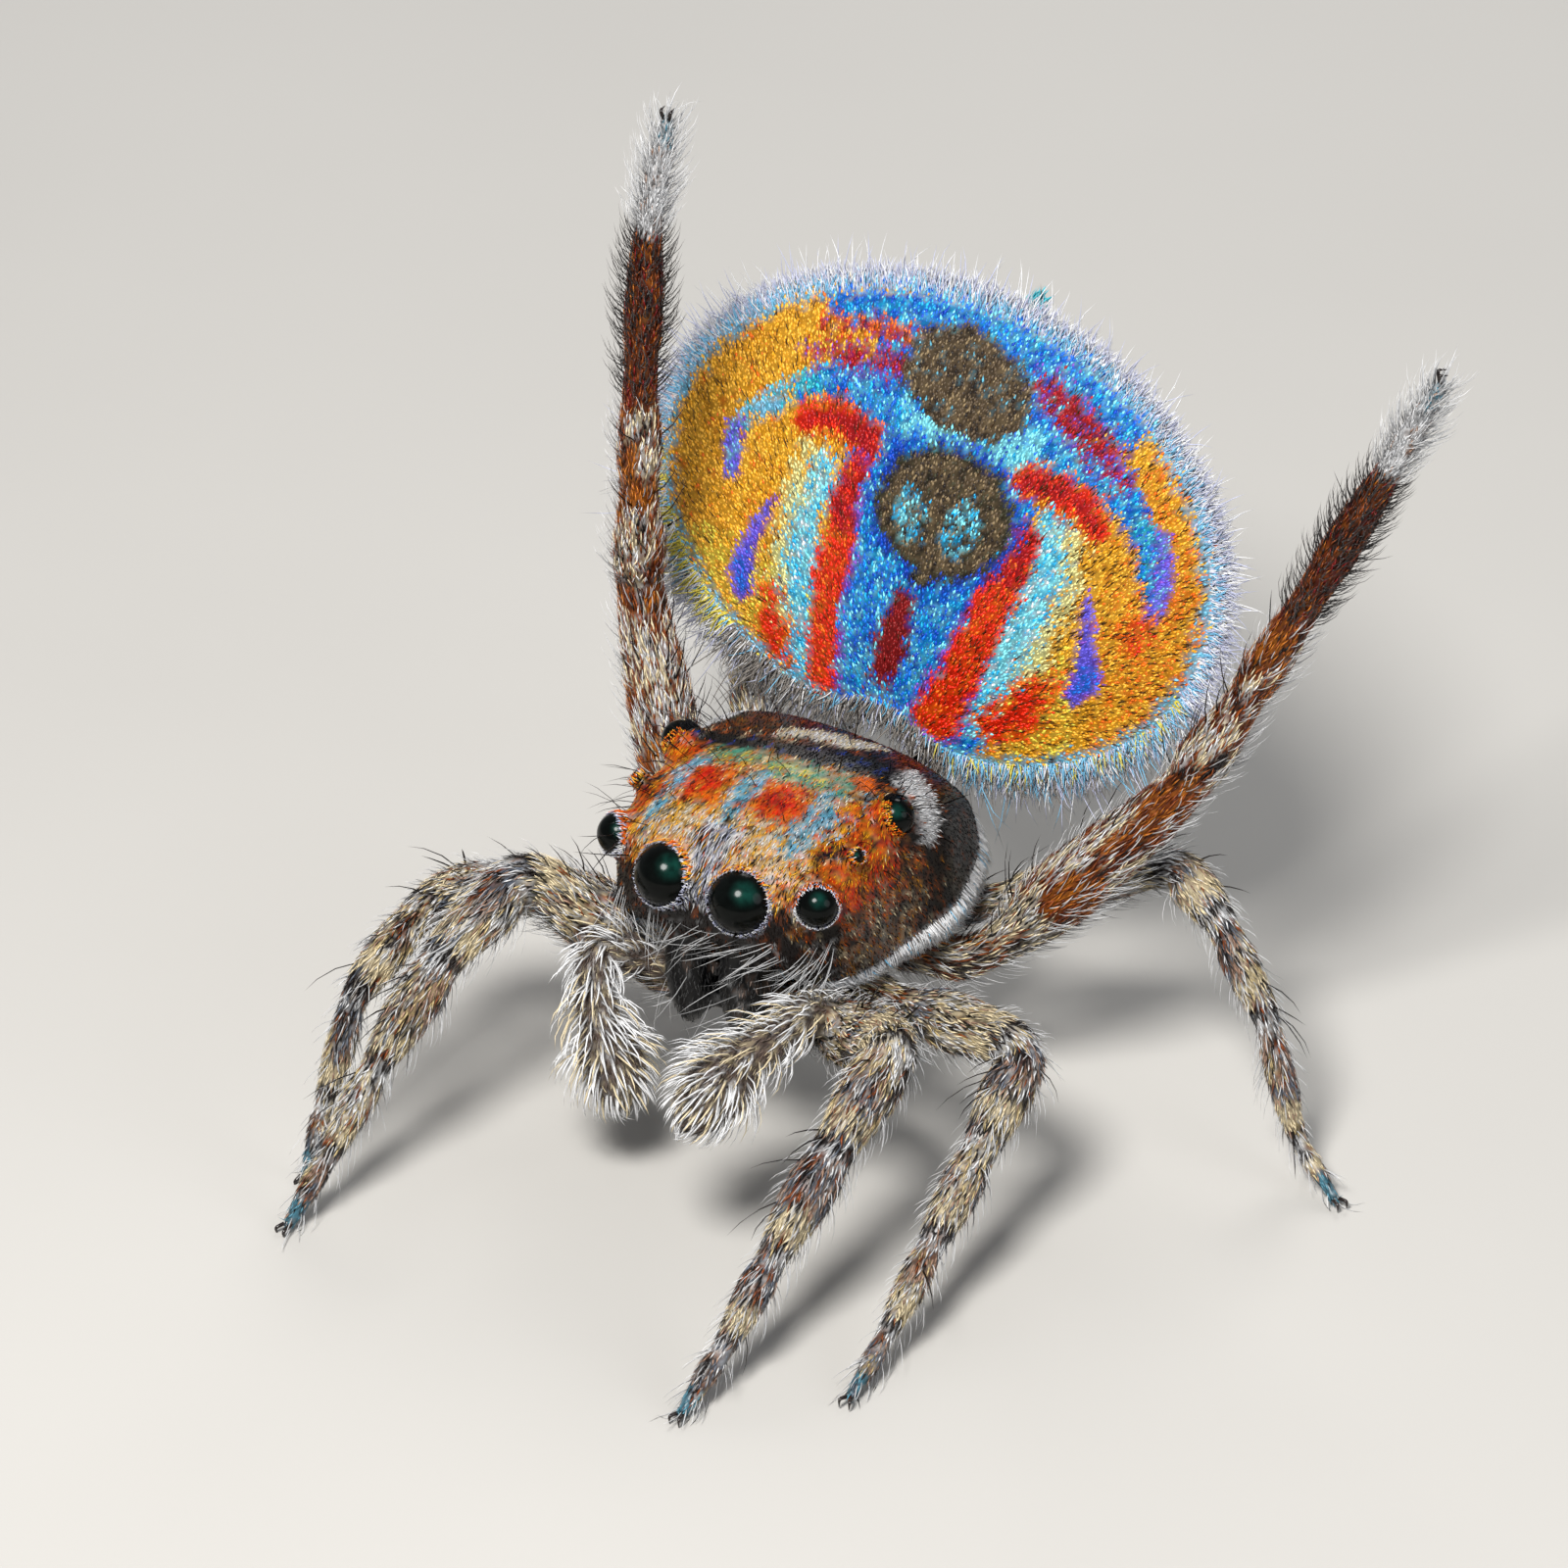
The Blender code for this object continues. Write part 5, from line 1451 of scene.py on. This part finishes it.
# Legs: scales, pale hairs and dark spines; the lifted third pair has a fringe and a white brush
UP = np.array((0.0, 0.0, 1.0))
for side, sign in SIDES.items():
    scales = []
    hairs = []
    spikes = []
    for pair in LEG_LENGTHS:
        part = owners == f"leg_{pair}_{side}"
        at, out = points[part], outs[part]
        count = len(at)
        share, ahead = along_course(at, courses[f"leg_{pair}_{side}"])
        ends = leg_ends(pair)
        upward = UP if pair != 3 else unit(UP - np.array((sign, 0, 0)) * 0.9)
        over = out @ upward
        around = np.arctan2(over, np.sum(np.cross(out, ahead) * upward, axis=1)) / (2 * math.pi) + 0.5
        chart = chart_of(share, (around * 0.94 + pair - 1) / 4)
        lie = level(ahead, out)
        tone = leg_colours(share, over, pair, at) * rng.uniform(0.7, 1.25, count)[:, None]
        size = np.interp(share, (0.3, 0.8, 1.0), (0.092, 0.080, 0.056))
        scales.append(tuft_rows(
            at, out, lie, size, 0.0055, 17, 3, tone, chart, spread=0.10, root_tone=0.38,
        ))
        under = over < -0.2
        chosen = lucky(count, np.where(under, 0.22, 0.13))
        tip = share > ends[4]
        length = np.where(under, 0.17, 0.13)
        lift = np.full(count, 48.0)
        if pair == 3:
            shaft = (share > ends[3] + 0.01) & ~tip
            chosen = np.where(shaft, lucky(count, 0.5), chosen)
            chosen = np.where(tip, lucky(count, 0.95), chosen)
            length = np.where(tip, 0.19, np.where(shaft, 0.17, length))
            lift = np.where(shaft | tip, 60.0, lift)
        tone = inked("white", count, 0.55, 1.0)
        if pair == 3:
            tone[shaft] = INK["dark"]
        hairs.append(tuft_rows(
            at[chosen], out[chosen], lie[chosen], length[chosen], 0.0038, lift[chosen], 10,
            tone[chosen], chart[chosen], thick=0.9, spread=0.2, vary=0.35,
        ))
        stiff = (share > ends[0] + 0.03) & (share < ends[3]) & (over > 0.15) & lucky(count, 0.018)
        stiff |= (share > ends[3]) & ~tip & lucky(count, 0.007)
        if pair == 3:
            stiff &= share < ends[3]
        spikes.append(tuft_rows(
            at[stiff], out[stiff], lie[stiff], 0.26, 0.0062, 50, 14, inked("dark", stiff.sum()),
            chart[stiff], thick=1.0, spread=0.3, vary=0.3,
        ))
    for name, group in (("front", scales[:2]), ("hind", scales[2:])):
        rows = remember(joined_rows(group))
        coat_piece(f"leg_scales_{name}_{side}", rows, SCALE, scale_finish)
    coat_piece(f"leg_hairs_{side}", joined_rows(hairs), LONG_HAIR, hair_finish)
    coat_piece(f"leg_spines_{side}", joined_rows(spikes), LONG_HAIR, spine_finish)

# Dark bristles about the eyes and over the head
part = (owners == "carapace") & (outs[:, 2] > 0.1) & (points[:, 1] < 1.1)
part &= lucky(len(points), np.where(np.abs(points[:, 0]) > 0.45, 0.018, 0.005))
at, out = points[part], outs[part]
lie = level(arrows(at[:, 0], -0.8, 0.0), out)
chart = chart_of(at[:, 0] / 1.8 + 0.5, at[:, 1] / 2)
tone = inked("dark", len(at)) * 0.5
rows = tuft_rows(at, out, lie, 0.24, 0.0038, 74, 38, tone, chart, thick=1.0, spread=0.4, vary=0.4)
coat_piece("head_bristles", rows, LONG_HAIR, spine_finish)

# The skin takes the coat's markings, darkened as painted shade between the tufts
SKIN_PAINTED_SHADE = 0.4
TUFTS_NEAR = 3
roots = np.concatenate([root for root, _ in skin_colours])
tones = np.concatenate([tone for _, tone in skin_colours])
tree = KDTree(len(roots))
for i, root in enumerate(roots):
    tree.insert(root, i)
tree.balance()
near = [[index for _, index, _ in tree.find_n(vert.co, TUFTS_NEAR)] for vert in skin.vertices]
set_marks(skin, tones[near].mean(axis=1) * SKIN_PAINTED_SHADE)
FLESH = [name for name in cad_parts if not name.startswith("eye_")]
finish_piece("spider_skin", skin, skin_finish, FLESH)

# Eyes: smooth corneas in the place of the solids' faceted ones, with a dark green reflection painted into
# their colour where they face the light
EYE_LIGHT = unit(np.array((0.52, -0.62, 0.9)))
REFLECTION_STARTS = 0.84
REFLECTION_POWER = 2.2
for name, radius, place, _ in EYES:
    for side, sign in SIDES.items():
        centre = np.array((sign * place[0], place[1], place[2]))
        mesh = ball_shape("eye", centre, (radius,) * 3, segments=64, rings=40)
        facing = np.array([unit(np.array(vert.co) - centre) @ EYE_LIGHT for vert in mesh.vertices])
        # Painted reflection: the cornea's colour turns dark green where it faces the light's direction
        painted_reflection = np.clip((facing - REFLECTION_STARTS) / (1 - REFLECTION_STARTS), 0, 1)[:, None] ** REFLECTION_POWER
        set_marks(mesh, INK["eye_black"] * (1 - painted_reflection) + INK["eye_painted_reflection"] * painted_reflection)
        finish_piece(f"cornea_{name}_{side}", mesh, eye_finish, [f"eye_{name}_{side}"])

# Two small claws on every foot: how far apart and how high they start, the reach of their two parts
CLAW_ASIDE = 0.018
CLAW_RISE = 0.012
CLAW_REACH = (0.05, 0.045)
CLAW_RADII = (0.011, 0.009, 0.002)
bm = bmesh.new()
for side in SIDES:
    for pair in LEG_LENGTHS:
        places, _ = courses[f"leg_{pair}_{side}"]
        tip = Vector(places[-1])
        ahead = Vector(places[-1] - places[-3]).normalized()
        aside = ahead.cross(Vector((0, 0, 1))).normalized()
        over = aside.cross(ahead).normalized()
        for turn in (-1, 1):
            start = tip + aside * turn * CLAW_ASIDE + over * CLAW_RISE
            bent = start + (ahead * 0.8 + over * 0.5 + aside * turn * 0.2) * CLAW_REACH[0]
            end = bent + (ahead * 0.5 - over * 0.8) * CLAW_REACH[1]
            course = smooth_course((start, bent, end), CLAW_RADII, 4)
            bm.from_mesh(tube_shape("claw", *course, 2))
for vert in bm.verts:
    vert.co.z = max(vert.co.z, FLOOR + SKIN_CLEAR)
claws = mesh_of("claws", bm)
set_marks(claws, inked("dark", len(claws.vertices)))
finish_piece("claws", claws, spine_finish)


# Floor, light and camera


def floor_material():
    """Matt painted board: an even pale grey, with only a trace of tone in it."""
    material, tree, shader = new_material("matt_board", {"Roughness": 0.85})
    tint = add_node(tree, "ShaderNodeValToRGB", {}, {"Fac": grain_noise(tree, 4).outputs["Fac"]})
    for stop, code in zip(tint.color_ramp.elements, ("B3B1AD", "B9B7B3")):
        stop.color = (*linear(code), 1)
    tree.links.new(tint.outputs["Color"], shader.inputs["Base Color"])
    return material


bm = bmesh.new()
bmesh.ops.create_grid(bm, x_segments=1, y_segments=1, size=FLOOR_HALF_SIZE)
floor = placed("floor", mesh_of("floor", bm))
floor.data.materials.append(floor_material())

MIDDLE = (EYE_ROW + Vector((0.1, 0.9, 0.3))) * MM
LIGHT_REACH = 34


def direction(turn, rise):
    """Towards a place at this turn from the front and this rise, in degrees."""
    a, e = math.radians(turn), math.radians(rise)
    return Vector((math.sin(a) * math.cos(e), -math.cos(a) * math.cos(e), math.sin(e)))


def aim(thing, place, back):
    """Sets a light or the camera at a place, with its back to this direction."""
    thing.location = place
    thing.rotation_euler = (-back).to_track_quat("-Z", "Y").to_euler()


def add_light(name, turn, rise, size, power, colour):
    """A soft round light that looks at the spider; its size in millimetres."""
    lamp = bpy.data.lights.new(name, "AREA")
    lamp.shape = "DISK"
    lamp.energy = power
    lamp.size = size * MM
    lamp.color = colour
    back = direction(turn, rise)
    aim(placed(name, lamp), MIDDLE + back * LIGHT_REACH * MM, back)


add_light("key", 8, 56, 12, 0.0182, (1.0, 0.98, 0.95))
add_light("fill", 95, 25, 20, 0.0022, (0.93, 0.96, 1.0))
add_light("rim", 200, 38, 14, 0.0038, (1.0, 0.99, 0.97))

world = bpy.data.worlds.new("studio")
world.use_nodes = True
sky = world.node_tree.nodes["Background"]
sky.inputs["Color"].default_value = (0.9, 0.93, 1.0, 1)
sky.inputs["Strength"].default_value = 0.25
bpy.context.scene.world = world

# Colours show as they are mixed, with no film curve over them
bpy.context.scene.view_settings.view_transform = "Standard"

camera = placed("camera", bpy.data.cameras.new("camera"))
camera.data.lens = CAMERA_LENS
camera.data.sensor_width = SENSOR_WIDTH
camera.data.clip_start = 0.001
camera.data.clip_end = 2.0
back = direction(CAMERA_TURN, CAMERA_RISE)
aim(camera, (EYE_ROW + CAMERA_TARGET + back * CAMERA_REACH) * MM, back)
bpy.context.scene.camera = camera
